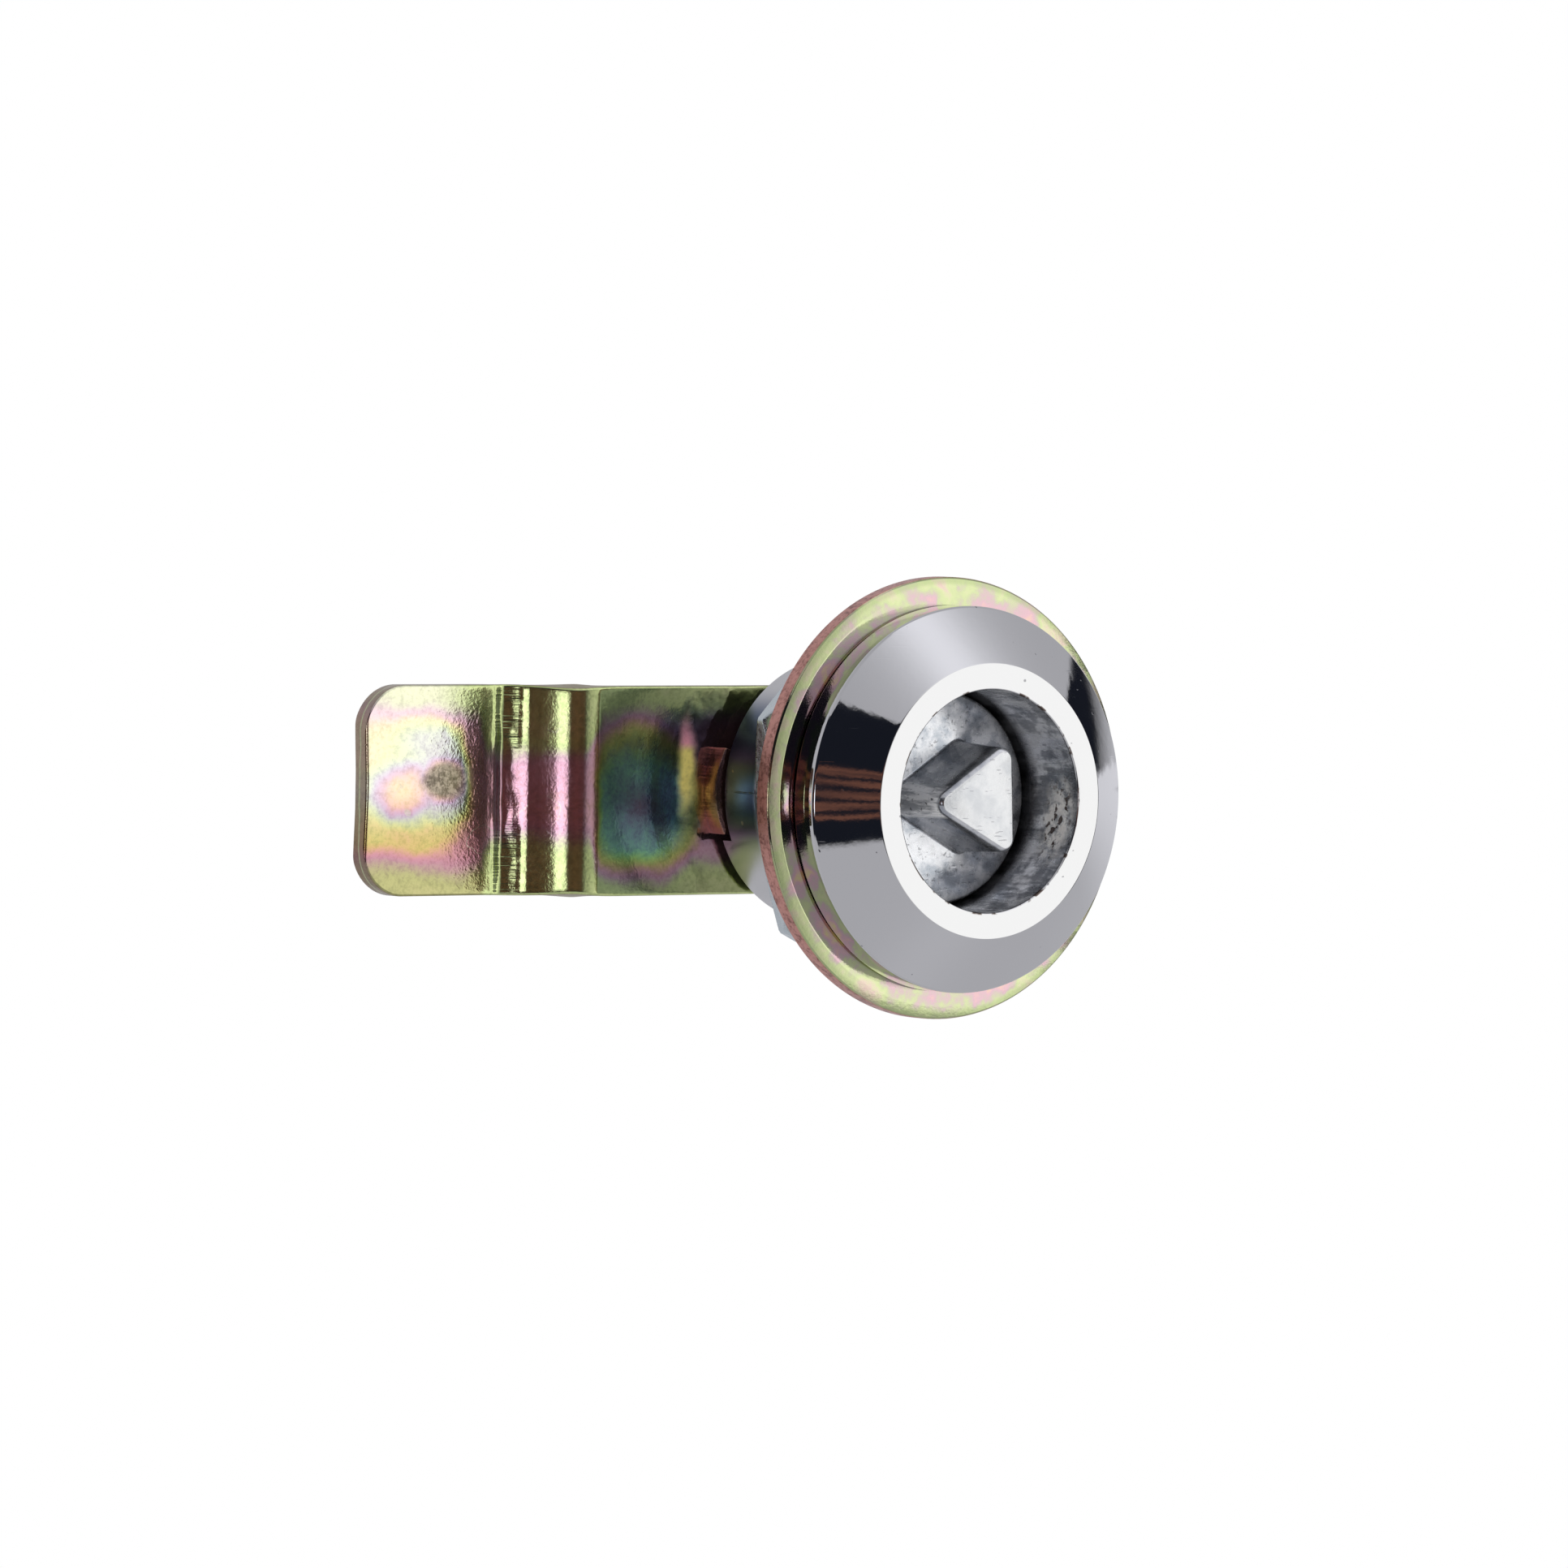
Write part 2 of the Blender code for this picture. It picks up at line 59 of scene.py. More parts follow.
# Places and sizes read from the frame.
HOUSING_LOW, HOUSING_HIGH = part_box("housing")
WASHER_LOW, WASHER_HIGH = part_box("face_washer")
NUT_LOW, NUT_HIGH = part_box("hex_nut")
SPINDLE_LOW, SPINDLE_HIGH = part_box("spindle")
CAM_LOW, CAM_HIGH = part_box("cam")
ORING_LOW, ORING_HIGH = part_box("spindle_oring")
FLAT_LOW, FLAT_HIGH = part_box("cam_flat_washer")
SPRING_LOW, SPRING_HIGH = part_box("cam_spring_washer")
SCREW_LOW, SCREW_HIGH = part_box("cam_screw")

# Head of the housing.
HEAD_R = HOUSING_HIGH.x
RING_Y = HOUSING_LOW.y
RIM_Y = -2.4 * MM
RING_R = 10.3 * MM
RECESS_R = 8.35 * MM
FLOOR_Y = 1.1 * MM
SEAT_Y = 3.6 * MM

# Barrel.
PITCH = 1.5 * MM
ROOT_R = 10.1 * MM
THREAD_DEPTH = 0.85 * MM
THREAD_START_Y = 0.6 * MM
THREAD_END_Y = 10.6 * MM
BARREL_R = 10.05 * MM
STEP_Y = 14.5 * MM
BARREL_END_Y = HOUSING_HIGH.y
BORE_R = 6.0 * MM

# Washer and nut.
WASHER_HOLE_R = 11.3 * MM
NUT_INRADIUS = 14.0 * MM
NUT_TURN = math.radians(8.5)
NUT_BORE_GAP = 0.25 * MM
CHAMFER_SLOPE = math.tan(math.radians(30))

# Spindle.
DRIVER_Y = SPINDLE_LOW.y
DRIVER_TURN = math.radians(2.5)
TRIANGLE_INRADIUS = 2.65 * MM
TRIANGLE_CORNER_R = 0.95 * MM
TRIANGLE_DRAFT = 1.06
SQUARE = 8.0 * MM
SHAFT_R = 5.7 * MM
SHAFT_END_Y = 16.1 * MM
GROOVE_Y = (ORING_LOW.y + ORING_HIGH.y) / 2
GROOVE_R = 4.4 * MM
GROOVE_HALF_W = 0.9 * MM
SCREW_HOLE_Y = (10.5 * MM, 19 * MM)

# Cam.
CAM_T = 1.6 * MM
CAM_Y = 16.4 * MM
CAM_HALF_W = CAM_HIGH.z
CAM_END_R = 0.25 * MM
BEND_START_X = -20.35 * MM
BEND_DROP = CAM_HIGH.y - CAM_Y - CAM_T
TIP_Y = CAM_Y + BEND_DROP
BEND_STATIONS = [  # (distance along the front face, slope in degrees), before scaling to the drop
    (0.0, 0),
    (0.15, 8),
    (1.1, 14),
    (2.6, 38),
    (3.7, 44.5),
    (5.0, 47.5),
    (5.7, 47.5),
    (5.83, 43.5),
    (7.1, 37.5),
    (7.9, 14),
    (8.35, 0),
]
TIP_CORNER_R = 3.6 * MM
TAIL_CORNER_R = 5.0 * MM
LUG_REACH = 10.65 * MM
LUG_FACE_R = 6.5 * MM
LUG_HALF_W = 3.3 * MM
STOP_CLEARANCE = math.radians(3.3)
LUG_INNER_R = 7.6 * MM
LUG_Y = CAM_LOW.y
LUG_ARC_STEPS = 24
POCKET_DEPTH = 0.9 * MM

# Screw and its washers.
SCREW_R = 3.0 * MM
SCREW_PITCH = 1.0 * MM
SCREW_DEPTH = 0.5 * MM
SCREW_HEAD_INRADIUS = SCREW_HIGH.z
SCREW_HEAD_Y = 22.2 * MM
SPRING_WIRE = 1.6 * MM
SPRING_GAP = math.radians(14)


# ---------------------------------------------------------------- mesh helpers


def mesh_of(name, shape):
    """A mesh of these (vertices, faces), with its faces turned outwards."""
    mesh = bpy.data.meshes.new(name)
    mesh.from_pydata([tuple(v) for v in shape[0]], [], shape[1])
    bm = bmesh.new()
    bm.from_mesh(mesh)
    bmesh.ops.recalc_face_normals(bm, faces=bm.faces)
    bm.to_mesh(mesh)
    bm.free()
    return mesh


def add_piece(name, mesh, material, body, node):
    """Adds the mesh as the piece that replaces a CAD node and moves with a body."""
    mesh.shade_smooth()
    mesh.set_sharp_from_angle(angle=SMOOTH_ANGLE)
    mesh.materials.clear()
    mesh.materials.append(material)
    piece = bpy.data.objects.new(name, mesh)
    bpy.context.scene.collection.objects.link(piece)
    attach(piece, body)
    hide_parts(node)


def fillet(points, closed=False, steps=5):
    """Rounds the corners of an outline of (a, b, radius) points."""
    outline = []
    count = len(points)
    for i, (a, b, radius) in enumerate(points):
        here = Vector((a, b))
        if radius == 0 or (not closed and i in (0, count - 1)):
            outline.append((a, b))
            continue
        to_last = (Vector(points[i - 1][:2]) - here).normalized()
        to_next = (Vector(points[(i + 1) % count][:2]) - here).normalized()
        half = to_last.angle(to_next) / 2
        centre = here + (to_last + to_next).normalized() * (radius / math.sin(half))
        first = here + to_last * (radius / math.tan(half)) - centre
        sweep = first.angle_signed(here + to_next * (radius / math.tan(half)) - centre)
        for k in range(steps + 1):
            turn = Matrix.Rotation(-sweep * k / steps, 2)
            outline.append(tuple(centre + turn @ first))
    return outline


def lathe(profile, steps=STEPS, closed=False, shape=None):
    """Vertices and faces of a turned (radius, depth) profile.

    shape(radius, depth, angles) gives a row's radius at each angle, where it isn't round.
    """
    verts = []
    rings = []
    angles = np.arange(steps) * TURN / steps
    for radius, depth in profile:
        if radius == 0:
            rings.append([len(verts)] * steps)
            verts.append((0, depth, 0))
            continue
        radii = np.full(steps, radius) if shape is None else shape(radius, depth, angles)
        rings.append(list(range(len(verts), len(verts) + steps)))
        verts += list(zip(radii * np.cos(angles), np.full(steps, depth), radii * np.sin(angles)))
    faces = []
    for i in range(len(rings) - (0 if closed else 1)):
        here, there = rings[i], rings[(i + 1) % len(rings)]
        for j in range(steps):
            k = (j + 1) % steps
            corners = [here[j], here[k], there[k], there[j]]
            unique = [c for n, c in enumerate(corners) if c not in corners[:n]]
            if len(unique) > 2:
                faces.append(unique)
    return verts, faces


def loft_faces(layers, count):
    """Faces through this many closed layers of count points each, capped at both ends."""
    faces = []
    for i in range(layers - 1):
        here, there = i * count, (i + 1) * count
        for j in range(count):
            k = (j + 1) % count
            faces.append([here + j, here + k, there + k, there + j])
    faces.append(list(range(count)))
    faces.append(list(range((layers - 1) * count, layers * count)))
    return faces


def stack(layers):
    """Vertices and faces of closed (x, z) outlines stacked along depth."""
    verts = [(x, depth, z) for outline, depth in layers for x, z in outline]
    return verts, loft_faces(len(layers), len(layers[0][0]))


def boolean(mesh, steps):
    """The mesh after these (operation, shape) steps."""
    body = bpy.data.objects.new("body", mesh)
    bpy.context.scene.collection.objects.link(body)
    others = []
    for operation, shape in steps:
        other = bpy.data.objects.new("other", mesh_of("other", shape))
        bpy.context.scene.collection.objects.link(other)
        others.append(other)
        modifier = body.modifiers.new("cut", "BOOLEAN")
        modifier.operation = operation
        modifier.object = other
    graph = bpy.context.evaluated_depsgraph_get()
    result = bpy.data.meshes.new_from_object(body.evaluated_get(graph))
    for obj in [body] + others:
        bpy.data.objects.remove(obj)
    return result


def square_outline(half):
    return [(half, -half), (half, half), (-half, half), (-half, -half)]


def arc(radius, start, end, steps, centre=(0, 0)):
    angles = [start + (end - start) * i / steps for i in range(steps + 1)]
    return [(centre[0] + radius * math.cos(a), centre[1] + radius * math.sin(a)) for a in angles]


def soft_min(a, b, blend):
    """The smaller of a and b, with the crease between them rounded over about blend."""
    h = np.clip(0.5 + 0.5 * (b - a) / blend, 0, 1)
    return b * (1 - h) + a * h - blend * h * (1 - h)


def hexagon_radius(angles, inradius, turn):
    """Distance from the centre to a hexagon's side at each angle."""
    sector = (angles - turn) % (TURN / 6) - TURN / 12
    return inradius / np.cos(sector)


def thread_wave(depth, angles, pitch):
    """0 at the flat root and 1 at the flat crest of a right-hand thread along +Y."""
    wave = 0.5 + 0.5 * np.cos(TURN * depth / pitch + angles)
    return np.clip((wave - 0.12) / 0.7, 0, 1)


# ---------------------------------------------------------------- material helpers


class Nodes:
    """Short calls that add shader nodes to one node tree."""

    def __init__(self, tree):
        self.tree = tree
        self.tree.nodes.clear()

    def add(self, kind, inputs=(), **settings):
        node = self.tree.nodes.new(kind)
        for name, value in settings.items():
            setattr(node, name, value)
        for key, value in dict(inputs).items():
            if isinstance(value, bpy.types.NodeSocket):
                self.tree.links.new(value, node.inputs[key])
            elif value is not None:
                node.inputs[key].default_value = value
        return node

    def math(self, operation, a, b=None, c=None):
        return self.add("ShaderNodeMath", {0: a, 1: b, 2: c}, operation=operation).outputs[0]

    def times(self, *values):
        result = values[0]
        for value in values[1:]:
            result = self.math("MULTIPLY", result, value)
        return result

    def plus(self, a, b):
        return self.math("ADD", a, b)

    def minus(self, a, b):
        return self.math("SUBTRACT", a, b)

    def times_plus(self, a, b, c):
        """a times b, plus c."""
        return self.math("MULTIPLY_ADD", a, b, c)

    def larger(self, a, b):
        return self.math("MAXIMUM", a, b)

    def vector(self, operation, a, b=None):
        return self.add("ShaderNodeVectorMath", {0: a, 1: b}, operation=operation).outputs[0]

    def stretch(self, a, b):
        """The product of two vectors or colours, channel by channel."""
        return self.vector("MULTIPLY", a, b)

    def length(self, vector):
        return self.add("ShaderNodeVectorMath", {0: vector}, operation="LENGTH").outputs["Value"]

    def step(self, value, low, high, out_low=0.0, out_high=1.0, kind="SMOOTHSTEP"):
        """Step from out_low to out_high, smooth unless kind is LINEAR."""
        inputs = {"Value": value, "From Min": low, "From Max": high}
        outputs = {"To Min": out_low, "To Max": out_high}
        node = self.add("ShaderNodeMapRange", {**inputs, **outputs}, interpolation_type=kind)
        return node.outputs[0]

    def mix(self, factor, a, b):
        """The colour a, with b over it by factor."""
        inputs = {0: factor, 6: a, 7: b}
        return self.add("ShaderNodeMix", inputs, data_type="RGBA").outputs[2]

    def paint(self, colour, *coats):
        """The colour under these (cover, colour) coats, the last on top."""
        for cover, coat in coats:
            colour = self.mix(cover, colour, coat)
        return colour

    def total(self, *parts):
        """The sum of (value, weight) parts."""
        result = self.times(*parts[0])
        for value, weight in parts[1:]:
            result = self.times_plus(value, weight, result)
        return result

    def noise(self, vector, scale, detail=2.0, roughness=0.5):
        inputs = {"Vector": vector, "Scale": scale, "Detail": detail, "Roughness": roughness}
        return self.add("ShaderNodeTexNoise", inputs).outputs[0]

    def streaks(self, coords, scale, detail=2.0, roughness=0.5):
        """Noise drawn out along the axis with the smallest scale."""
        return self.noise(self.stretch(coords, scale), 1.0, detail, roughness)

    def split(self, vector):
        return self.add("ShaderNodeSeparateXYZ", {"Vector": vector}).outputs

    def join(self, parts):
        return self.add("ShaderNodeCombineXYZ", dict(enumerate(parts))).outputs[0]

    def triple(self, value):
        return self.join((value, value, value))

    def curve(self, value, stops):
        """The value through straight lines between stops of (value, result)."""
        result = stops[0][1]
        for (low, start), (high, end) in zip(stops, stops[1:]):
            result = self.plus(result, self.step(value, low, high, 0.0, end - start, "LINEAR"))
        return result

    def band(self, value, low, high, soft):
        """1 between low and high, falling to 0 within soft of each."""
        rise = self.step(value, low - soft, low + soft)
        return self.times(rise, self.step(value, high + soft, high - soft))

    def away(self, coords, centre, size):
        """Distance from centre, over a size that differs by axis."""
        return self.length(self.vector("DIVIDE", self.vector("SUBTRACT", coords, centre), size))

    def blob(self, coords, centre, size, soft):
        """1 inside an ellipsoid of this half size, falling to 0 across its surface."""
        return self.step(self.away(coords, centre, size), 1 + soft, 1 - soft)

    def warp(self, coords, scale, reach):
        """The coordinates, wandering by up to about reach."""
        inputs = {"Vector": coords, "Scale": scale, "Detail": 3.0}
        cloud = self.add("ShaderNodeTexNoise", inputs).outputs["Color"]
        shift = self.stretch(self.vector("SUBTRACT", cloud, (0.5, 0.5, 0.5)), (reach, reach, reach))
        return self.vector("ADD", coords, shift)

    def scratches(self, coords, scale, turn):
        """Short hairlines, finest along the axis with the largest scale, turned about Y."""
        inputs = {"Vector": coords, "Rotation": (0, turn, 0), "Scale": scale}
        place = self.add("ShaderNodeMapping", inputs).outputs[0]
        return self.step(self.noise(place, 1.0, 1), 0.70, 0.76)

    def drying_marks(self, coords):
        """Thin closed outlines where drops of the bath dried."""
        line = self.band(self.noise(coords, 150, 1), 0.398, 0.402, 0.002)
        return self.times(line, self.step(self.noise(coords, 90, 1), 0.45, 0.55))

    def leather(self, coords):
        """Fine grain of a plated pressing."""
        return self.times_plus(self.noise(coords, 1500, 2), 0.9, self.noise(coords, 3800, 2, 0.6))

    def bump(self, height, distance):
        inputs = {"Height": height, "Distance": distance, "Strength": 1.0}
        return self.add("ShaderNodeBump", inputs).outputs[0]


def grey(value):
    return (value, value, value, 1.0)


def new_material(name):
    material = bpy.data.materials.new(name)
    material.use_nodes = True
    nodes = Nodes(material.node_tree)
    coords = nodes.add("ShaderNodeTexCoord").outputs["Object"]
    return material, nodes, coords


def metal_output(nodes, colour, roughness, normal, metallic=1.0):
    inputs = {"Base Color": colour, "Roughness": roughness, "Metallic": metallic, "Normal": normal}
    shader = nodes.add("ShaderNodeBsdfPrincipled", inputs)
    nodes.add("ShaderNodeOutputMaterial", {"Surface": shader.outputs[0]})


def axis_radius(nodes, x, z):
    """Distance from the lock's axis."""
    return nodes.length(nodes.join((x, 0.0, z)))


# ---------------------------------------------------------------- materials


BLACKENED = (0.10, 0.10, 0.11, 1)
SCAR_SPOT = (8.2 * MM, -3.0 * MM, -1.7 * MM), (2.5 * MM, 1.6 * MM, 3.0 * MM)  # centre and size


def chrome_material():
    """Bright chrome on a zinc casting, with a stained recess wall darker towards its top and a
    rougher barrel; the wall has painted light and painted shade at its foot, and the barrel's flank
    a painted reflection.
    """
    material, nodes, coords = new_material("chrome_casting")
    x, y, z = nodes.split(coords)
    radius = axis_radius(nodes, x, z)

    # Zones of the casting.
    in_recess = nodes.step(radius, RECESS_R + 0.25 * MM, RECESS_R + 0.15 * MM)
    wall = nodes.times(in_recess, nodes.step(y, RING_Y + 0.05 * MM, RING_Y + 0.2 * MM))
    # foot: the deep part of the recess wall by the gap, which gets painted shade.
    foot = nodes.times(in_recess, nodes.step(y, FLOOR_Y - 2.2 * MM, FLOOR_Y - 0.4 * MM))
    thread_r = ROOT_R + THREAD_DEPTH
    barrel = nodes.times(
        nodes.step(radius, thread_r + 0.25 * MM, thread_r + 0.05 * MM),
        nodes.step(y, THREAD_START_Y - 0.1 * MM, THREAD_START_Y + 0.1 * MM),
    )
    behind_thread = nodes.times(barrel, nodes.step(y, 9.0 * MM, 10.0 * MM))
    # Painted reflection: the barrel's flank behind the thread is coloured dark blue, in place of
    # the dark surroundings it reflects.
    flank_painted_reflection = nodes.times(behind_thread, nodes.band(z, -3.6 * MM, 6.8 * MM, 1.2 * MM))

    # Marks: pits and hair scratches all over, a worn scar in the recess, and a parting line.
    pits = nodes.step(nodes.noise(coords, 1500, 1), 0.23, 0.19)
    hair = nodes.scratches(coords, (260, 260, 5200), 0.4)
    turned = nodes.streaks(coords, (350, 7000, 350), 3)
    cast = nodes.streaks(coords, (1500, 420, 1500), 4, 0.6)
    scar_place = nodes.warp(coords, 400, 2.5 * MM)
    scar = nodes.blob(scar_place, *SCAR_SPOT, 0.4)
    craters = nodes.times(scar, nodes.step(nodes.noise(coords, 1700, 2), 0.42, 0.36))
    bloom = nodes.times(scar, nodes.step(nodes.noise(coords, 1100, 4, 0.65), 0.34, 0.58))
    chips = nodes.times(
        nodes.band(radius, RECESS_R - 0.05 * MM, RECESS_R + 0.15 * MM, 0.05 * MM),
        nodes.step(y, RING_Y + 0.3 * MM, RING_Y + 0.15 * MM),
        nodes.step(nodes.noise(coords, 900, 3), 0.52, 0.6),
    )
    parting = nodes.times(
        nodes.band(z, -0.05 * MM, 0.05 * MM, 0.05 * MM),
        barrel,
        nodes.step(nodes.noise(coords, 700, 2), 0.4, 0.55),
    )

    roughness = nodes.total(
        (nodes.step(nodes.noise(coords, 350, 4), 0.35, 0.8, 0.03, 0.08), 1.0),
        (barrel, 0.26),
        (wall, nodes.step(cast, 0.3, 0.7, 0.10, 0.28)),
    )
    height = nodes.total(
        (nodes.noise(coords, 900, 3), 1.3),
        (pits, -1.2),
        (hair, -0.25),
        (nodes.times(barrel, turned), 1.6),
        (nodes.times(wall, cast), 6.0),
        (craters, -14.0),
        (parting, 5.0),
    )
    lines = nodes.streaks(coords, (2600, 300, 2600), 3, 0.6)
    cloud = nodes.times_plus(lines, 0.35, nodes.noise(coords, 330, 4, 0.65))
    # dim darkens the wall towards its top.
    dim = nodes.step(z, 0.5 * MM, 4.0 * MM, 0.0, 0.55)
    stain_and_darker_top = nodes.larger(nodes.step(cloud, 0.54, 0.74), dim)
    colour = nodes.paint(
        (0.60, 0.60, 0.60, 1),
        # painted reflection on the barrel's flank
        (flank_painted_reflection, (0.13, 0.16, 0.23, 1)),
        # Painted light: the recess wall is coloured brighter than the rest of the chrome.
        (wall, (0.85, 0.86, 0.88, 1)),
        (pits, (0.30, 0.30, 0.31, 1)),
        # The wall's stain clouds, and the wall darker towards its top.
        (nodes.times(wall, stain_and_darker_top), (0.22, 0.23, 0.25, 1)),
        # Painted shade: the foot of the recess wall is nearly black.
        (nodes.times(foot, 0.92), (0.03, 0.03, 0.035, 1)),
        (bloom, (1.0, 0.97, 0.92, 1)),
        (nodes.larger(craters, chips), (0.10, 0.075, 0.065, 1)),
    )
    runs = nodes.streaks(coords, (700, 160, 700), 4, 0.65)
    haze = nodes.larger(bloom, nodes.times(wall, nodes.step(runs, 0.36, 0.62, 0.1, 0.8)))
    metallic = nodes.times_plus(haze, -0.95, 1.0)
    metal_output(nodes, colour, roughness, nodes.bump(height, 0.004 * MM), metallic)
    return material


def spindle_material():
    """Chromed casting with a cloudier skin than the head, scuffed and dented by keys."""
    material, nodes, coords = new_material("chrome_spindle")
    x, y, z = nodes.split(coords)
    cloud = nodes.noise(coords, 520, 5, 0.6)
    dents = nodes.noise(coords, 900, 3, 0.65)
    pits = nodes.step(nodes.noise(coords, 1400, 1), 0.26, 0.2)
    specks = nodes.step(nodes.noise(coords, 2300, 4, 0.7), 0.42, 0.34)
    scuffs = nodes.larger(
        nodes.scratches(coords, (900, 900, 5200), 0.9),
        nodes.scratches(coords, (800, 900, 6200), -0.6),
    )

    # Zones: the driver's top, its worn side corner, the floor and the painted shade round the
    # floor's edge, by the gap.
    top = nodes.step(y, DRIVER_Y + 0.1 * MM, DRIVER_Y - 0.1 * MM)
    floor = nodes.step(y, FLOOR_Y - 0.4 * MM, FLOOR_Y - 0.2 * MM)
    foot = nodes.step(axis_radius(nodes, x, z), 7.2 * MM, 8.05 * MM)
    bare = nodes.times(
        nodes.step(x, -3.0 * MM, -3.7 * MM),
        nodes.step(y, DRIVER_Y + 0.2 * MM, DRIVER_Y + 0.6 * MM),
        nodes.minus(1.0, floor),
    )

    roughness = nodes.times_plus(scuffs, 0.15, nodes.step(cloud, 0.3, 0.75, 0.14, 0.30))
    height = nodes.total(
        (cloud, nodes.times_plus(top, -0.6, 1.0)),
        (dents, nodes.times_plus(top, 1.2, 0.5)),
        (nodes.plus(scuffs, pits), -0.5),
    )
    worn = nodes.mix(nodes.step(cloud, 0.38, 0.60), (0.42, 0.45, 0.49, 1), (0.92, 0.93, 0.95, 1))
    worn = nodes.mix(nodes.times(specks, 0.7), worn, BLACKENED)
    rubbed = nodes.streaks(coords, (1500, 260, 1500), 4, 0.65)
    rubbed = nodes.mix(nodes.step(rubbed, 0.40, 0.56), (0.40, 0.41, 0.43, 1), (1.0, 1.0, 1.0, 1))
    colour = nodes.paint(
        (0.36, 0.38, 0.41, 1),
        (nodes.step(cloud, 0.35, 0.65), (0.64, 0.65, 0.66, 1)),
        (nodes.times(scuffs, 0.35), (0.30, 0.31, 0.33, 1)),
        (nodes.times(top, 0.95), (0.62, 0.62, 0.62, 1)),
        # Painted shade: the floor darkens towards its edge by the gap.
        (nodes.times(foot, 0.35), BLACKENED),
        (nodes.times(floor, nodes.minus(1.0, foot)), worn),
        (bare, nodes.mix(specks, rubbed, BLACKENED)),
    )
    haze = nodes.times_plus(floor, nodes.step(cloud, 0.3, 0.7, 0.1, 0.3), 0.08)
    haze = nodes.larger(haze, nodes.times(bare, 0.9))
    normal = nodes.bump(height, 0.016 * MM)
    metal_output(nodes, colour, roughness, normal, nodes.minus(1.0, haze))
    return material


# Mean, swing, fading per order and period of the reflected red, green and blue, in waves of green.
FILM_CHANNELS = (
    (0.57, 0.80, 0.60, 1.12),
    (0.49, 1.00, 0.50, 1.0),
    (0.33, 0.90, 0.50, 0.83),
)


def film_colour(nodes, orders):
    """Colour of a clear film on zinc by interference. orders is its thickness in waves of green."""
    channels = []
    for mean, swing, fading, period in FILM_CHANNELS:
        wave = nodes.math("COSINE", nodes.times(orders, TURN / period))
        faded = nodes.times(wave, nodes.math("EXPONENT", nodes.times(orders, -fading)))
        channels.append(nodes.times_plus(faded, mean * swing, mean))
    return nodes.add("ShaderNodeCombineColor", dict(enumerate(channels))).outputs[0]


EDGE_ORDERS = 2.98  # the film's thickness along the cam's long edges
MOTTLE = 0.3

# How much thinner the cam's film gets round a spot, as stops of (distance over size, orders).
END_THINNING = ((0.0, 0.3), (0.86, 0.3), (1.12, 0.0))
SPOT_THINNING = ((0.0, 0.98), (0.5, 0.93), (0.75, 0.72), (1.0, 0.45), (1.35, 0.3), (1.8, 0.0))
LOBE_THINNING = ((0.0, 0.88), (0.5, 0.80), (0.75, 0.58), (1.0, 0.3), (1.4, 0.0))
UPPER_THINNING = ((0.0, 0.42), (0.5, 0.38), (1.0, 0.2), (1.5, 0.0))
ROOT_THINNING = ((0.0, 0.90), (0.3, 0.78), (0.6, 0.70), (0.8, 0.55), (1.0, 0.28), (1.2, 0.0))
TEAL_RING = ((0.0, 0.5), (0.3, 1.0), (0.6, 1.0), (0.8, 0.0))

# Spots of the cam's film, as (centre, size). They reach through the plate, so their depth is long.
THROUGH = 50 * MM
ROOT_SPOT = (-16.6 * MM, 16.0 * MM, -1.2 * MM), (5.6 * MM, THROUGH, 6.0 * MM)
TIP_SPOT = (-31.8 * MM, 20.5 * MM, 0.7 * MM), (2.6 * MM, THROUGH, 1.9 * MM)
TIP_LEFT_SPOT = (-35.4 * MM, 20.5 * MM, 0.2 * MM), (3.2 * MM, THROUGH, 2.3 * MM)
TIP_UPPER_SPOT = (-32.5 * MM, 20.5 * MM, 3.0 * MM), (3.6 * MM, THROUGH, 3.0 * MM)
CRUST_SPOT = (-31.5 * MM, 20.5 * MM, 0.7 * MM), (2.3 * MM, THROUGH, 1.3 * MM)
# Where the painted highlight beside the lug sits.
LUG_HIGHLIGHT_SPOT = (-12.25 * MM, 16.0 * MM, 1.7 * MM), (0.75 * MM, THROUGH, 3.2 * MM)


def cam_film(nodes, coords, place):
    """Film thickness: three orders at the long edges, fewer in the middle, fewest on the flats."""
    x, _, z = nodes.split(place)
    on_bend = nodes.band(x, -28.0 * MM, -20.9 * MM, 0.6 * MM)
    upper_edge = nodes.plus(z, nodes.times(on_bend, 3.0 * MM))
    lower_edge = nodes.minus(z, nodes.times(on_bend, 1.8 * MM))
    middle = nodes.step(upper_edge, 7.5 * MM, 4.1 * MM)
    middle = nodes.times(middle, nodes.step(lower_edge, -7.3 * MM, -3.9 * MM))
    past = nodes.larger(nodes.plus(x, 34.0 * MM), 0.0)
    beside = nodes.away(nodes.join((past, 0.0, z)), (0, 0, 0.9 * MM), (5.0 * MM, MM, 5.6 * MM))
    spot = nodes.curve(nodes.away(place, *TIP_SPOT), SPOT_THINNING)
    lobe = nodes.curve(nodes.away(place, *TIP_LEFT_SPOT), LOBE_THINNING)
    upper = nodes.curve(nodes.away(place, *TIP_UPPER_SPOT), UPPER_THINNING)
    hollow = nodes.math("SMOOTH_MAX", spot, lobe, 0.1)
    hollow = nodes.math("SMOOTH_MAX", hollow, upper, 0.1)
    root = nodes.curve(nodes.away(place, *ROOT_SPOT), ROOT_THINNING)
    thinner = nodes.total(
        (middle, 0.55),
        (nodes.curve(beside, END_THINNING), nodes.step(x, -28.0 * MM, -28.8 * MM)),
        (hollow, nodes.step(x, -28.9 * MM, -30.2 * MM)),
        (root, nodes.step(x, -21.2 * MM, -20.0 * MM)),
    )
    mottle = nodes.noise(coords, 260, 4)
    return nodes.times_plus(mottle, MOTTLE, nodes.minus(EDGE_ORDERS - MOTTLE / 2, thinner))


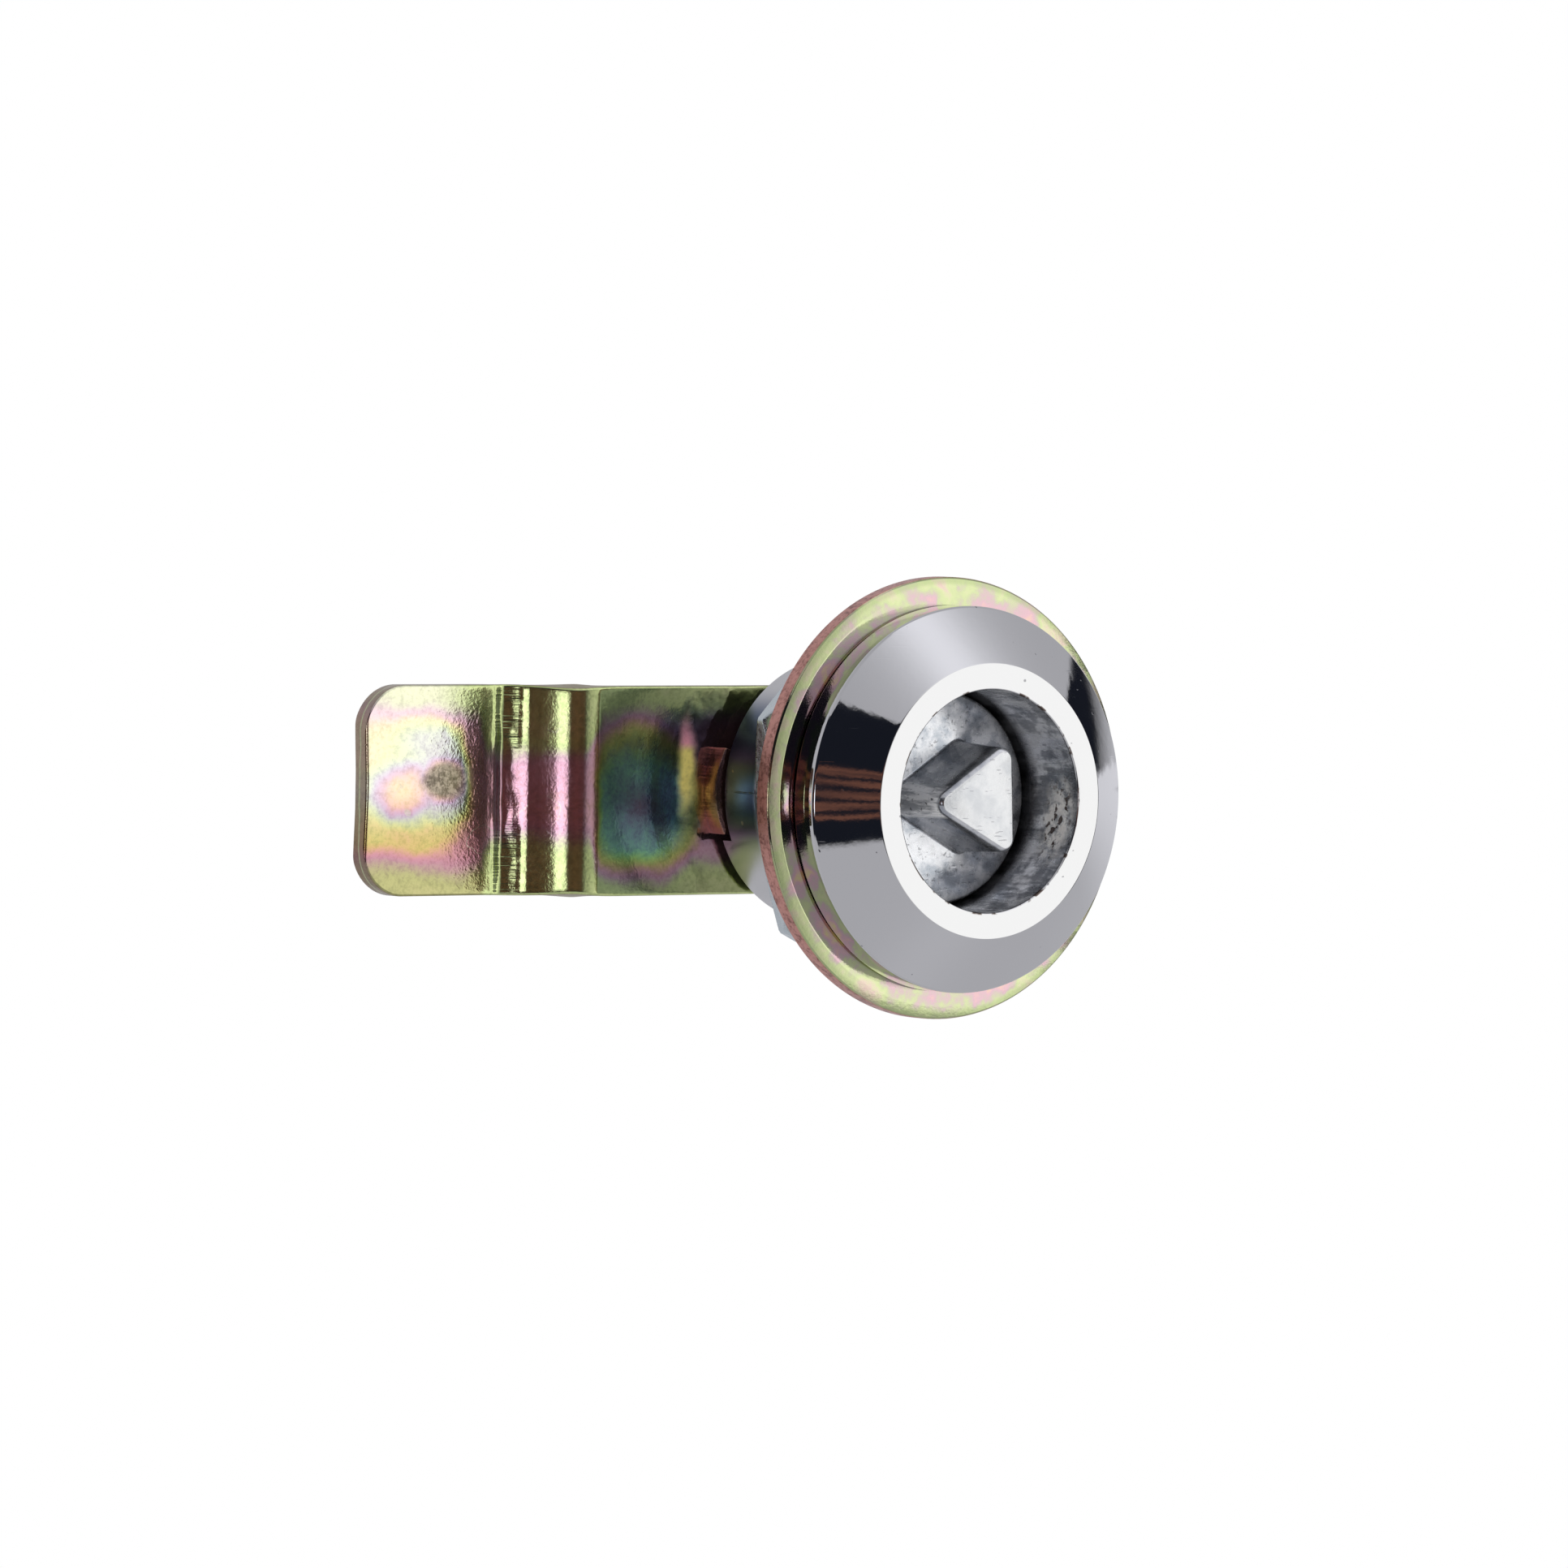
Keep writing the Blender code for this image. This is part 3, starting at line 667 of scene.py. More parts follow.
def cam_material():
    """Iridescent yellow zinc on the pressed cam, with sheared edges and a coined crease."""
    material, nodes, coords = new_material("yellow_zinc_cam")
    x, y, z = nodes.split(coords)
    across_plate = nodes.split(nodes.add("ShaderNodeTexCoord").outputs["Normal"])[1]
    sheared = nodes.step(nodes.math("ABSOLUTE", across_plate), 0.55, 0.35)
    front = nodes.step(across_plate, 0.0, -0.3)
    lug = nodes.band(x, -11.0 * MM, -7.0 * MM, 0.1 * MM)
    lug = nodes.times(lug, nodes.step(y, CAM_Y + 0.02 * MM, CAM_Y - 0.1 * MM))
    grain = nodes.leather(coords)
    shear = nodes.streaks(coords, (5200, 200, 5200))

    # The film's own colour, then what differs from it on each flat.
    film_place = nodes.warp(coords, 170, 2.4 * MM)
    orders = cam_film(nodes, coords, film_place)
    colour = film_colour(nodes, nodes.times_plus(nodes.minus(grain, 0.95), 0.14, orders))
    teal = nodes.curve(nodes.away(film_place, *ROOT_SPOT), TEAL_RING)
    teal = nodes.times(teal, nodes.step(x, -21.2 * MM, -20.0 * MM))
    colour = nodes.stretch(colour, nodes.mix(teal, grey(1.0), (1.0, 1.7, 1.48, 1)))
    # Painted highlight: the tip is paled towards light pink, most on its upper half.
    upper_tip_highlight = nodes.step(z, -4.5 * MM, 0.5 * MM, 0.0, 0.42)
    upper_tip_highlight = nodes.times(nodes.step(x, -28.5 * MM, -33.0 * MM), upper_tip_highlight)
    colour = nodes.mix(upper_tip_highlight, colour, (0.90, 0.80, 0.78, 1))
    # Painted shade: the lower part of the tip is darkened.
    lower_tip_shade = nodes.times(nodes.step(x, -27.6 * MM, -28.4 * MM), nodes.step(z, 0.5 * MM, -4.0 * MM))
    colour = nodes.stretch(colour, nodes.mix(lower_tip_shade, grey(1.0), (0.74, 0.62, 0.62, 1)))

    # A painted highlight, as a warm streak beside the lug; a dull crust on the tip, edges, tear
    # line, lug and dried drops.
    place = nodes.warp(coords, 500, 1.2 * MM)
    # Painted highlight: a warm streak beside the lug, on its front face.
    lug_highlight = nodes.times(nodes.blob(place, *LUG_HIGHLIGHT_SPOT, 0.6), front)
    warm = nodes.step(z, 2.9 * MM, 3.7 * MM)
    warm = nodes.mix(warm, (1.0, 0.85, 0.25, 1), (1.0, 0.42, 0.50, 1))
    crust = nodes.times(nodes.blob(place, *CRUST_SPOT, 0.3), front)
    dull = nodes.step(nodes.noise(coords, 2600, 3, 0.7), 0.40, 0.60)
    dull = nodes.mix(dull, (0.09, 0.085, 0.07, 1), (0.48, 0.42, 0.33, 1))
    edge_tone = nodes.noise(coords, 500, 3)
    edge_tone = nodes.mix(edge_tone, (0.27, 0.13, 0.11, 1), (0.24, 0.20, 0.14, 1))
    tear = nodes.times_plus(nodes.noise(coords, 400, 2), 0.35 * MM, y)
    tear = nodes.band(tear, TIP_Y + 0.86 * MM, TIP_Y + 0.98 * MM, 0.05 * MM)
    mark = nodes.drying_marks(nodes.warp(coords, 300, 2 * MM))
    colour = nodes.paint(
        colour,
        (lug_highlight, warm),
        (nodes.times(crust, 0.8), dull),
        (nodes.times(sheared, 0.75), edge_tone),
        (nodes.times(sheared, tear, 0.8), (0.55, 0.62, 0.36, 1)),
        (nodes.times(lug, 0.7), (0.42, 0.20, 0.13, 1)),
        (nodes.times(mark, 0.6), (0.50, 0.50, 0.40, 1)),
    )
    # Painted shade and light of the grain: darker where the grain is low, lighter where it is high.
    colour = nodes.stretch(colour, nodes.triple(nodes.step(grain, 0.62, 1.1, 0.84, 1.06)))

    # The crease is coined hardest towards the plate's long edges.
    at_ends = nodes.minus(1.0, nodes.band(z, -2.6 * MM, 3.4 * MM, 0.9 * MM))
    crease = nodes.times(
        nodes.band(x, -27.2 * MM, -25.3 * MM, 0.2 * MM),
        nodes.times_plus(at_ends, 0.8, 0.2),
    )
    relief = nodes.times(
        nodes.step(x, -27.8 * MM, -28.6 * MM, 0.4, 0.65),
        nodes.step(sheared, 0.0, 1.0, 1.0, 0.5),
    )
    height = nodes.total(
        (grain, relief),
        (nodes.noise(coords, 420, 2), nodes.step(x, -14.5 * MM, -11.0 * MM, 0.0, 12.0)),
        (nodes.times(crease, nodes.streaks(coords, (150, 150, 3800))), 3.5),
        (nodes.times(nodes.larger(sheared, lug), shear), 1.8),
        (nodes.times(crust, nodes.noise(coords, 4200, 3)), 1.5),
    )
    roughness = nodes.total(
        (nodes.step(nodes.noise(coords, 200, 3), 0.3, 0.7, 0.07, 0.13), 1.0),
        (nodes.larger(sheared, crust), 0.18),
        (nodes.band(x, -27.8 * MM, -20.6 * MM, 0.4 * MM), 0.025),
    )
    haze = nodes.larger(nodes.times(lug_highlight, 0.9), nodes.times(crust, 0.35))
    normal = nodes.bump(height, 0.016 * MM)
    metal_output(nodes, colour, roughness, normal, nodes.minus(0.97, haze))
    return material


def washer_material():
    """Iridescent yellow zinc on the punched washer, with a matt coppery sheared edge."""
    material, nodes, coords = new_material("yellow_zinc_washer")
    x, y, z = nodes.split(coords)
    radius = axis_radius(nodes, x, z)
    rim_r = WASHER_HIGH.x
    side = nodes.step(radius, rim_r - 0.1 * MM, rim_r - 0.04 * MM)
    side = nodes.times(side, nodes.step(y, 0.38 * MM, 0.5 * MM))
    grain = nodes.leather(coords)
    thickness = nodes.step(radius, 14.8 * MM, 16.4 * MM, 1.15, 1.5)
    cloud = nodes.noise(nodes.warp(coords, 200, 3 * MM), 230, 4, 0.6)
    orders = nodes.times_plus(cloud, 2.9, thickness)
    orders = nodes.times_plus(nodes.noise(coords, 1500, 3), 0.4, nodes.minus(orders, 0.2))
    tone = nodes.mix(nodes.step(grain, 0.6, 1.1), (0.27, 0.12, 0.10, 1), (0.62, 0.31, 0.26, 1))
    colour = nodes.paint(
        film_colour(nodes, orders),
        (0.25, (0.56, 0.53, 0.46, 1)),
        (nodes.step(radius, 15.9 * MM, 16.3 * MM, 0.0, 0.45), (0.30, 0.38, 0.17, 1)),
        (side, tone),
    )
    shear = nodes.streaks(coords, (3200, 500, 3200), 3)
    height = nodes.times(grain, nodes.times_plus(side, 0.65, 0.35))
    height = nodes.times_plus(nodes.times(side, shear), 1.5, height)
    roughness = nodes.times_plus(side, 0.28, 0.08)
    metal_output(nodes, colour, roughness, nodes.bump(height, 0.010 * MM))
    return material


def nut_material():
    """Blue-white zinc, with marks drawn along the flats."""
    material, nodes, coords = new_material("blue_zinc")
    grain = nodes.noise(coords, 2600, 3, 0.6)
    drawn = nodes.streaks(coords, (3600, 260, 3600), 3)
    roughness = nodes.step(grain, 0.3, 0.7, 0.22, 0.36)
    normal = nodes.bump(nodes.times_plus(drawn, 1.4, grain), 0.012 * MM)
    cloud = nodes.noise(coords, 220, 3)
    colour = nodes.mix(cloud, (0.55, 0.62, 0.64, 1), (0.66, 0.70, 0.71, 1))
    metal_output(nodes, colour, roughness, normal)
    return material


def plain_metal(name, colour, grain_scale, smoothest, roughest):
    """One tone of metal with a fine even grain."""
    material, nodes, coords = new_material(name)
    grain = nodes.noise(coords, grain_scale, 3)
    roughness = nodes.step(grain, 0.3, 0.7, smoothest, roughest)
    metal_output(nodes, colour, roughness, nodes.bump(grain, 0.01 * MM))
    return material


def rubber_material():
    material, nodes, coords = new_material("black_rubber")
    normal = nodes.bump(nodes.noise(coords, 3000, 2), 0.01 * MM)
    metal_output(nodes, (0.015, 0.015, 0.016, 1), 0.55, normal, metallic=0.0)
    return material


# ---------------------------------------------------------------- pieces


def housing_shape(radius, depth, angles):
    """Radius of the housing's outer thread; other rows stay round."""
    if abs(radius - ROOT_R) > SAME_RADIUS:
        return np.full(len(angles), radius)
    from_end = min(depth - THREAD_START_Y, THREAD_END_Y - depth)
    fade = min(1.0, from_end / (PITCH / 2))
    return radius + THREAD_DEPTH * fade * thread_wave(depth, angles, PITCH)


def make_housing(material):
    head = [
        (BORE_R, BARREL_END_Y, 0.2 * MM),
        (BORE_R, SEAT_Y, 0.2 * MM),
        (RECESS_R, SEAT_Y, 0.2 * MM),
        (RECESS_R, RING_Y, 0.12 * MM),
        (RING_R, RING_Y, 0.25 * MM),
        (HEAD_R, RIM_Y, 0.35 * MM),
        (HEAD_R, 0, 0.3 * MM),
        (ROOT_R + THREAD_DEPTH / 2, 0, 0.2 * MM),
        (ROOT_R, THREAD_START_Y / 2, 0.1 * MM),
    ]
    rear = [
        (BARREL_R, THREAD_END_Y + 0.2 * MM, 0.08 * MM),
        (BARREL_R, BARREL_END_Y, 0.25 * MM),
        (BORE_R, BARREL_END_Y, 0.2 * MM),
    ]
    rows = np.linspace(THREAD_START_Y, THREAD_END_Y, 121)
    thread = [(ROOT_R, depth) for depth in rows]
    outer = fillet(head + [(ROOT_R, THREAD_START_Y, 0)])[1:-1]
    inner = fillet([(ROOT_R, THREAD_END_Y, 0)] + rear + [(BORE_R, SEAT_Y, 0)])[1:-1]
    shape = lathe(outer + thread + inner, closed=True, shape=housing_shape)
    corner_x, corner_z = lug_corner()
    reach = math.atan2(corner_z, -corner_x) + STOP_CLEARANCE
    sector = [(0, 0)] + arc(HEAD_R, math.pi / 2 - reach, math.pi + reach, 60)
    notch = stack([(sector, STEP_Y), (sector, BARREL_END_Y + MM)])
    mesh = boolean(mesh_of("housing_body", shape), [("DIFFERENCE", notch)])
    add_piece("housing_body", mesh, material, "housing", "housing")


def make_washer(material):
    """Punched washer: its front corner is drawn down a little, and its back corner is square."""
    front = WASHER_LOW.y - 0.16 * MM
    profile = [
        (WASHER_HOLE_R, front, 0.15 * MM),
        (WASHER_HIGH.x - 1.0 * MM, front, 0.6 * MM),
        (WASHER_HIGH.x - 0.12 * MM, front + 0.2 * MM, 0.1 * MM),
        (WASHER_HIGH.x, front + 0.34 * MM, 0.1 * MM),
        (WASHER_HIGH.x, WASHER_HIGH.y, 0.06 * MM),
        (WASHER_HOLE_R, WASHER_HIGH.y, 0.06 * MM),
    ]
    mesh = mesh_of("panel_washer", lathe(fillet(profile, closed=True, steps=8), closed=True))
    add_piece("panel_washer", mesh, material, "clamp_washer", "face_washer")


def nut_shape(radius, depth, angles):
    """Radius of the nut: the thread in its bore, and six flats cut into its chamfers."""
    if radius < NUT_INRADIUS - 2 * MM:
        return radius + THREAD_DEPTH * thread_wave(depth, angles, PITCH)
    flats = hexagon_radius(angles, NUT_INRADIUS, math.pi / 6 + NUT_TURN)
    return soft_min(np.full(len(angles), radius), flats, 0.12 * MM)


def make_nut(material):
    face_r = NUT_INRADIUS + 0.1 * MM
    outer = []
    for depth in np.linspace(NUT_LOW.y, NUT_HIGH.y, 61):
        from_face = min(depth - NUT_LOW.y, NUT_HIGH.y - depth)
        outer.append((face_r + from_face / CHAMFER_SLOPE, depth))
    bore_r = ROOT_R + NUT_BORE_GAP
    bore = [(bore_r, depth) for depth in np.linspace(NUT_HIGH.y, NUT_LOW.y, 37)]
    shape = lathe(outer + bore, steps=360, closed=True, shape=nut_shape)
    mesh = mesh_of("panel_nut", shape)
    add_piece("panel_nut", mesh, material, "clamp_nut", "hex_nut")


def triangle_outline(scale=1.0, inset=0.0):
    radius = (TRIANGLE_INRADIUS * scale - inset) * 2
    corner_r = max(TRIANGLE_CORNER_R - inset, 0.1 * MM)
    turns = [DRIVER_TURN + a for a in (math.pi, -math.pi / 3, math.pi / 3)]
    corners = [(radius * math.cos(a), radius * math.sin(a), corner_r) for a in turns]
    return fillet(corners, closed=True, steps=8)


def driver_layers():
    """The triangular driver: a bevelled top, drafted sides and a flared foot."""
    bevel = flare_r = 0.3 * MM
    into_floor = 0.32 * MM
    layers = []
    for inset, drop in ((1.0, 0.0), (0.8, 0.06), (0.15, 0.7), (0.0, 1.0)):
        layers.append((triangle_outline(inset=bevel * inset), DRIVER_Y + bevel * drop))
    top, foot = DRIVER_Y + bevel, FLOOR_Y - flare_r
    for i in range(1, 5):
        t = i / 4
        layers.append((triangle_outline(1 + (TRIANGLE_DRAFT - 1) * t), top + (foot - top) * t))
    for i in range(1, 5):
        a = math.pi / 2 * i / 4
        flare = flare_r * (1 - math.cos(a))
        layers.append((triangle_outline(TRIANGLE_DRAFT, -flare), foot + into_floor * math.sin(a)))
    return layers


def make_spindle(material):
    disc_r = RECESS_R - GAP
    disc_back = SEAT_Y - GAP
    groove = (GROOVE_Y - GROOVE_HALF_W, GROOVE_Y + GROOVE_HALF_W)
    profile = [
        (0, FLOOR_Y, 0),
        (disc_r, FLOOR_Y, 0.25 * MM),
        (disc_r, disc_back, 0.2 * MM),
        (SHAFT_R, disc_back, 0.2 * MM),
        (SHAFT_R, groove[0], 0.1 * MM),
        (GROOVE_R, groove[0], 0.1 * MM),
        (GROOVE_R, groove[1], 0.1 * MM),
        (SHAFT_R, groove[1], 0.1 * MM),
        (SHAFT_R, SHAFT_END_Y, 0.3 * MM),
        (0, SHAFT_END_Y, 0),
    ]
    body = lathe(fillet(profile), steps=144)
    square = [(x, z, 0.4 * MM) for x, z in square_outline(SQUARE / 2)]
    outline = fillet(square, closed=True)
    small = [(x * 0.97, z * 0.97) for x, z in outline]
    end_y = SPINDLE_HIGH.y
    end = stack([(outline, SHAFT_END_Y - 0.5 * MM), (outline, end_y - 0.15 * MM), (small, end_y)])
    hole_r = SCREW_R + GAP
    hole_low, hole_high = SCREW_HOLE_Y
    hole = lathe([(0, hole_low), (hole_r, hole_low), (hole_r, hole_high), (0, hole_high)], steps=64)
    steps = [("UNION", end), ("UNION", stack(driver_layers())), ("DIFFERENCE", hole)]
    mesh = boolean(mesh_of("key_spindle", body), steps)
    add_piece("key_spindle", mesh, material, "spindle", "spindle")


def make_oring(material):
    section_r = (ORING_HIGH.y - ORING_LOW.y) / 2
    section = arc(section_r, 0, TURN, 24, (ORING_HIGH.x - section_r, GROOVE_Y))[:-1]
    mesh = mesh_of("shaft_oring", lathe(section, steps=96, closed=True))
    add_piece("shaft_oring", mesh, material, "spindle", "spindle_oring")


def cam_stations():
    """(x, depth, slope) along the cam's front face, and the x where its tip flat starts."""
    tail, tip = CAM_HIGH.x, CAM_LOW.x
    quarter = CAM_END_R * (1 - np.cos(np.linspace(0, math.pi / 2, 7)))
    root = np.concatenate([
        tail - quarter,
        np.linspace(tail - CAM_END_R, tail - TAIL_CORNER_R, 24)[1:],
        np.linspace(tail - TAIL_CORNER_R, BEND_START_X, 60)[1:],
    ])
    stations = [(x, CAM_Y, 0.0) for x in root]
    along, slopes = np.array(BEND_STATIONS).T
    fine = np.linspace(0, along[-1], 400)
    kernel = np.hanning(9) / np.hanning(9).sum()
    slope = np.convolve(np.pad(np.radians(np.interp(fine, along, slopes)), 4), kernel, "valid")
    step = fine[1] - fine[0]
    scale = BEND_DROP / (np.sin(slope).sum() * step)
    x = BEND_START_X - np.cumsum(np.cos(slope)) * step * scale
    y = CAM_Y + np.cumsum(np.sin(slope)) * step * scale
    stations += list(zip(x, y, slope))[::3]
    flat_start = x[-1]
    flat = np.concatenate([
        np.linspace(flat_start, tip + TIP_CORNER_R, 24)[1:],
        np.linspace(tip + TIP_CORNER_R, tip + CAM_END_R, 30)[1:],
        (tip + quarter[::-1])[1:],
    ])
    return stations + [(x, TIP_Y, 0.0) for x in flat], flat_start


def cam_half_width(x):
    half = CAM_HALF_W
    for end, radius in ((CAM_LOW.x, TIP_CORNER_R), (CAM_HIGH.x, TAIL_CORNER_R)):
        inside = abs(x - end)
        if inside < radius:
            half = CAM_HALF_W - radius + math.sqrt(max(0.0, radius**2 - (radius - inside) ** 2))
    return half


def cam_section(half_w, half_t, roll=0.2 * MM, burr=0.1 * MM, count=60):
    """Rounded rectangle of (across, through) points: a soft front edge and a sharper back one."""
    corners = [
        (-half_w, -half_t, roll),
        (half_w, -half_t, roll),
        (half_w, half_t, burr),
        (-half_w, half_t, burr),
    ]
    outline = fillet(corners, closed=True, steps=6)
    points = []
    for i, (a, b) in enumerate(outline):
        c, d = outline[(i + 1) % len(outline)]
        parts = count if abs(a - c) > half_w else (6 if abs(b - d) > half_t / 2 else 1)
        for k in range(parts):
            points.append((a + (c - a) * k / parts, b + (d - b) * k / parts))
    return points


def bell(value, centre, width):
    return math.exp(-(((value - centre) / width) ** 2))


def coining(x, across, crease_x):
    """How far the die's corner has pushed the front face in, along the cam's inner crease."""
    wander = 0.45 * MM * noise.noise(Vector((0, 0, across * 300)))
    depth = 1 + 1.2 * noise.noise(Vector((5, 0, across * 600)))
    ridge = 0.07 * MM * depth * bell(x, crease_x - 0.15 * MM + wander, 0.2 * MM)
    groove = 0.07 * MM * depth * bell(x, crease_x + 0.5 * MM + wander * 0.6, 0.32 * MM)
    dents = 0.04 * MM * noise.noise(Vector((x * 1500, 3, across * 700)))
    return groove - ridge + dents * bell(x, crease_x + 0.8 * MM, 0.7 * MM)


def cam_strip():
    """Vertices and faces of the bent plate: it spreads at the bends, and its tip is dished."""
    stations, flat_start = cam_stations()
    outer_bend = BEND_START_X - 1.9 * MM
    inner_bend = flat_start + 1.0 * MM
    verts = []
    for x, y, slope in stations:
        from_end = min(abs(x - CAM_LOW.x), abs(x - CAM_HIGH.x))
        short = max(0.0, CAM_END_R - from_end)
        squeeze = CAM_END_R - math.sqrt(max(0.0, CAM_END_R**2 - short**2))
        section = cam_section(cam_half_width(x), CAM_T / 2 - squeeze)
        outer, inner = bell(x, outer_bend, 1.7 * MM), bell(x, inner_bend, 1.3 * MM)
        for across, through in section:
            back = 0.5 + through / CAM_T
            spread = outer * (0.13 * back - 0.2 * (1 - back)) + inner * 0.08 * (0.5 - back)
            across *= 1 + spread * MM / CAM_HALF_W
            depth = through + CAM_T / 2
            if through < 0:
                depth += coining(x, across, flat_start) * bell(across / CAM_HALF_W, 0, 1.2)
            dip = 0.16 * MM * bell(across, 0, 3.6 * MM) * bell(x, CAM_LOW.x, 1.5 * MM)
            verts.append((x + dip + depth * math.sin(slope), y + depth * math.cos(slope), across))
    return verts, loft_faces(len(stations), len(section))


def lug_corner():
    """Where the lug's bulging outer face meets its upper end."""
    half = math.asin(LUG_HALF_W / LUG_FACE_R)
    return LUG_FACE_R - LUG_REACH - LUG_FACE_R * math.cos(half), LUG_HALF_W


def lug_outline(inset=0.0):
    """The lug seen along the axis: a bulging outer face and a hollow inner one."""
    face_r = LUG_FACE_R - inset
    face_half = math.asin((LUG_HALF_W - inset) / face_r)
    face_centre = (LUG_FACE_R - LUG_REACH, 0)
    outer = arc(face_r, math.pi - face_half, math.pi + face_half, LUG_ARC_STEPS, face_centre)
    half = math.atan2(outer[0][1], -outer[0][0])
    inner = arc(LUG_INNER_R + inset, math.pi + half, math.pi - half, LUG_ARC_STEPS)
    points = [(x, z, 0.0) for x, z in outer + inner]
    for corner in (0, LUG_ARC_STEPS, LUG_ARC_STEPS + 1, -1):
        points[corner] = (*points[corner][:2], 0.13 * MM)
    return fillet(points, closed=True, steps=4)


def make_cam(material):
    """The bent plate with its square hole, and the lug that is pressed out of it."""
    past_back = CAM_HIGH.y + MM
    square = square_outline(SQUARE / 2 + GAP)
    hole = stack([(square, CAM_Y - MM), (square, past_back)])
    edge = 0.12 * MM
    lug = stack([
        (lug_outline(edge), LUG_Y),
        (lug_outline(edge * 0.3), LUG_Y + edge * 0.3),
        (lug_outline(), LUG_Y + edge),
        (lug_outline(), CAM_Y + 0.5 * MM),
    ])
    dent = lug_outline(GAP)
    pocket = stack([(dent, CAM_Y + CAM_T - POCKET_DEPTH), (dent, past_back)])
    steps = [("DIFFERENCE", hole), ("UNION", lug), ("DIFFERENCE", pocket)]
    mesh = boolean(mesh_of("lock_cam", cam_strip()), steps)
    add_piece("lock_cam", mesh, material, "spindle", "cam")


def make_flat_washer(material):
    hole_r = SCREW_R + GAP
    profile = [
        (hole_r, FLAT_LOW.y, 0.1 * MM),
        (FLAT_HIGH.x, FLAT_LOW.y, 0.1 * MM),
        (FLAT_HIGH.x, FLAT_HIGH.y, 0.3 * MM),
        (hole_r, FLAT_HIGH.y, 0.2 * MM),
    ]
    shape = lathe(fillet(profile, closed=True), steps=128, closed=True)
    mesh = mesh_of("screw_flat_washer", shape)
    add_piece("screw_flat_washer", mesh, material, "spindle", "cam_flat_washer")


def make_spring_washer(material):
    """One open turn of square wire, with its ends at different depths."""
    half = SPRING_WIRE / 2
    centre_r = SPRING_HIGH.x - half
    rise = SPRING_HIGH.y - SPRING_LOW.y - SPRING_WIRE
    corners = [(-half, -half), (half, -half), (half, half), (-half, half)]
    section = fillet([(a, b, 0.15 * MM) for a, b in corners], closed=True, steps=3)
    steps = 96
    verts = []
    for i in range(steps + 1):
        t = i / steps
        angle = SPRING_GAP / 2 + (TURN - SPRING_GAP) * t
        depth = SPRING_HIGH.y - half - rise * t
        for a, b in section:
            radius = centre_r + a
            verts.append((radius * math.cos(angle), depth + b, radius * math.sin(angle)))
    mesh = mesh_of("screw_spring_washer", (verts, loft_faces(steps + 1, len(section))))
    add_piece("screw_spring_washer", mesh, material, "spindle", "cam_spring_washer")


def screw_shape(radius, depth, angles):
    """Radius of the screw: six flats on its head and a thread on its shank."""
    if radius > SCREW_R + 0.5 * MM:
        hexagon = hexagon_radius(angles, SCREW_HEAD_INRADIUS, 0.0)
        return soft_min(np.full(len(angles), radius), hexagon, 0.1 * MM)
    on_thread = abs(radius - (SCREW_R - SCREW_DEPTH)) < SAME_RADIUS
    if depth < SCREW_HEAD_Y - 1.2 * MM and on_thread:
        return radius + SCREW_DEPTH * thread_wave(depth, angles, SCREW_PITCH)
    return np.full(len(angles), radius)


def make_screw(material):
    root = SCREW_R - SCREW_DEPTH
    neck = root + 0.25 * MM
    crown = SCREW_HEAD_INRADIUS - 0.2 * MM
    head_r = SCREW_HEAD_INRADIUS * 1.16
    profile = [(0, SCREW_LOW.y), (root - 0.3 * MM, SCREW_LOW.y)]
    rows = np.linspace(SCREW_LOW.y + 0.4 * MM, SCREW_HEAD_Y - 1.3 * MM, 110)
    profile += [(root, depth) for depth in rows]
    profile += [(neck, SCREW_HEAD_Y - 1.1 * MM), (neck, SCREW_HEAD_Y)]
    for depth in np.linspace(SCREW_HEAD_Y, SCREW_HIGH.y, 40):
        profile.append((min(crown + (SCREW_HIGH.y - depth) / CHAMFER_SLOPE, head_r), depth))
    profile += [(crown * 0.8, SCREW_HIGH.y), (0, SCREW_HIGH.y)]
    mesh = mesh_of("cam_bolt", lathe(profile, steps=180, shape=screw_shape))
    add_piece("cam_bolt", mesh, material, "spindle", "cam_screw")


# ---------------------------------------------------------------- studio


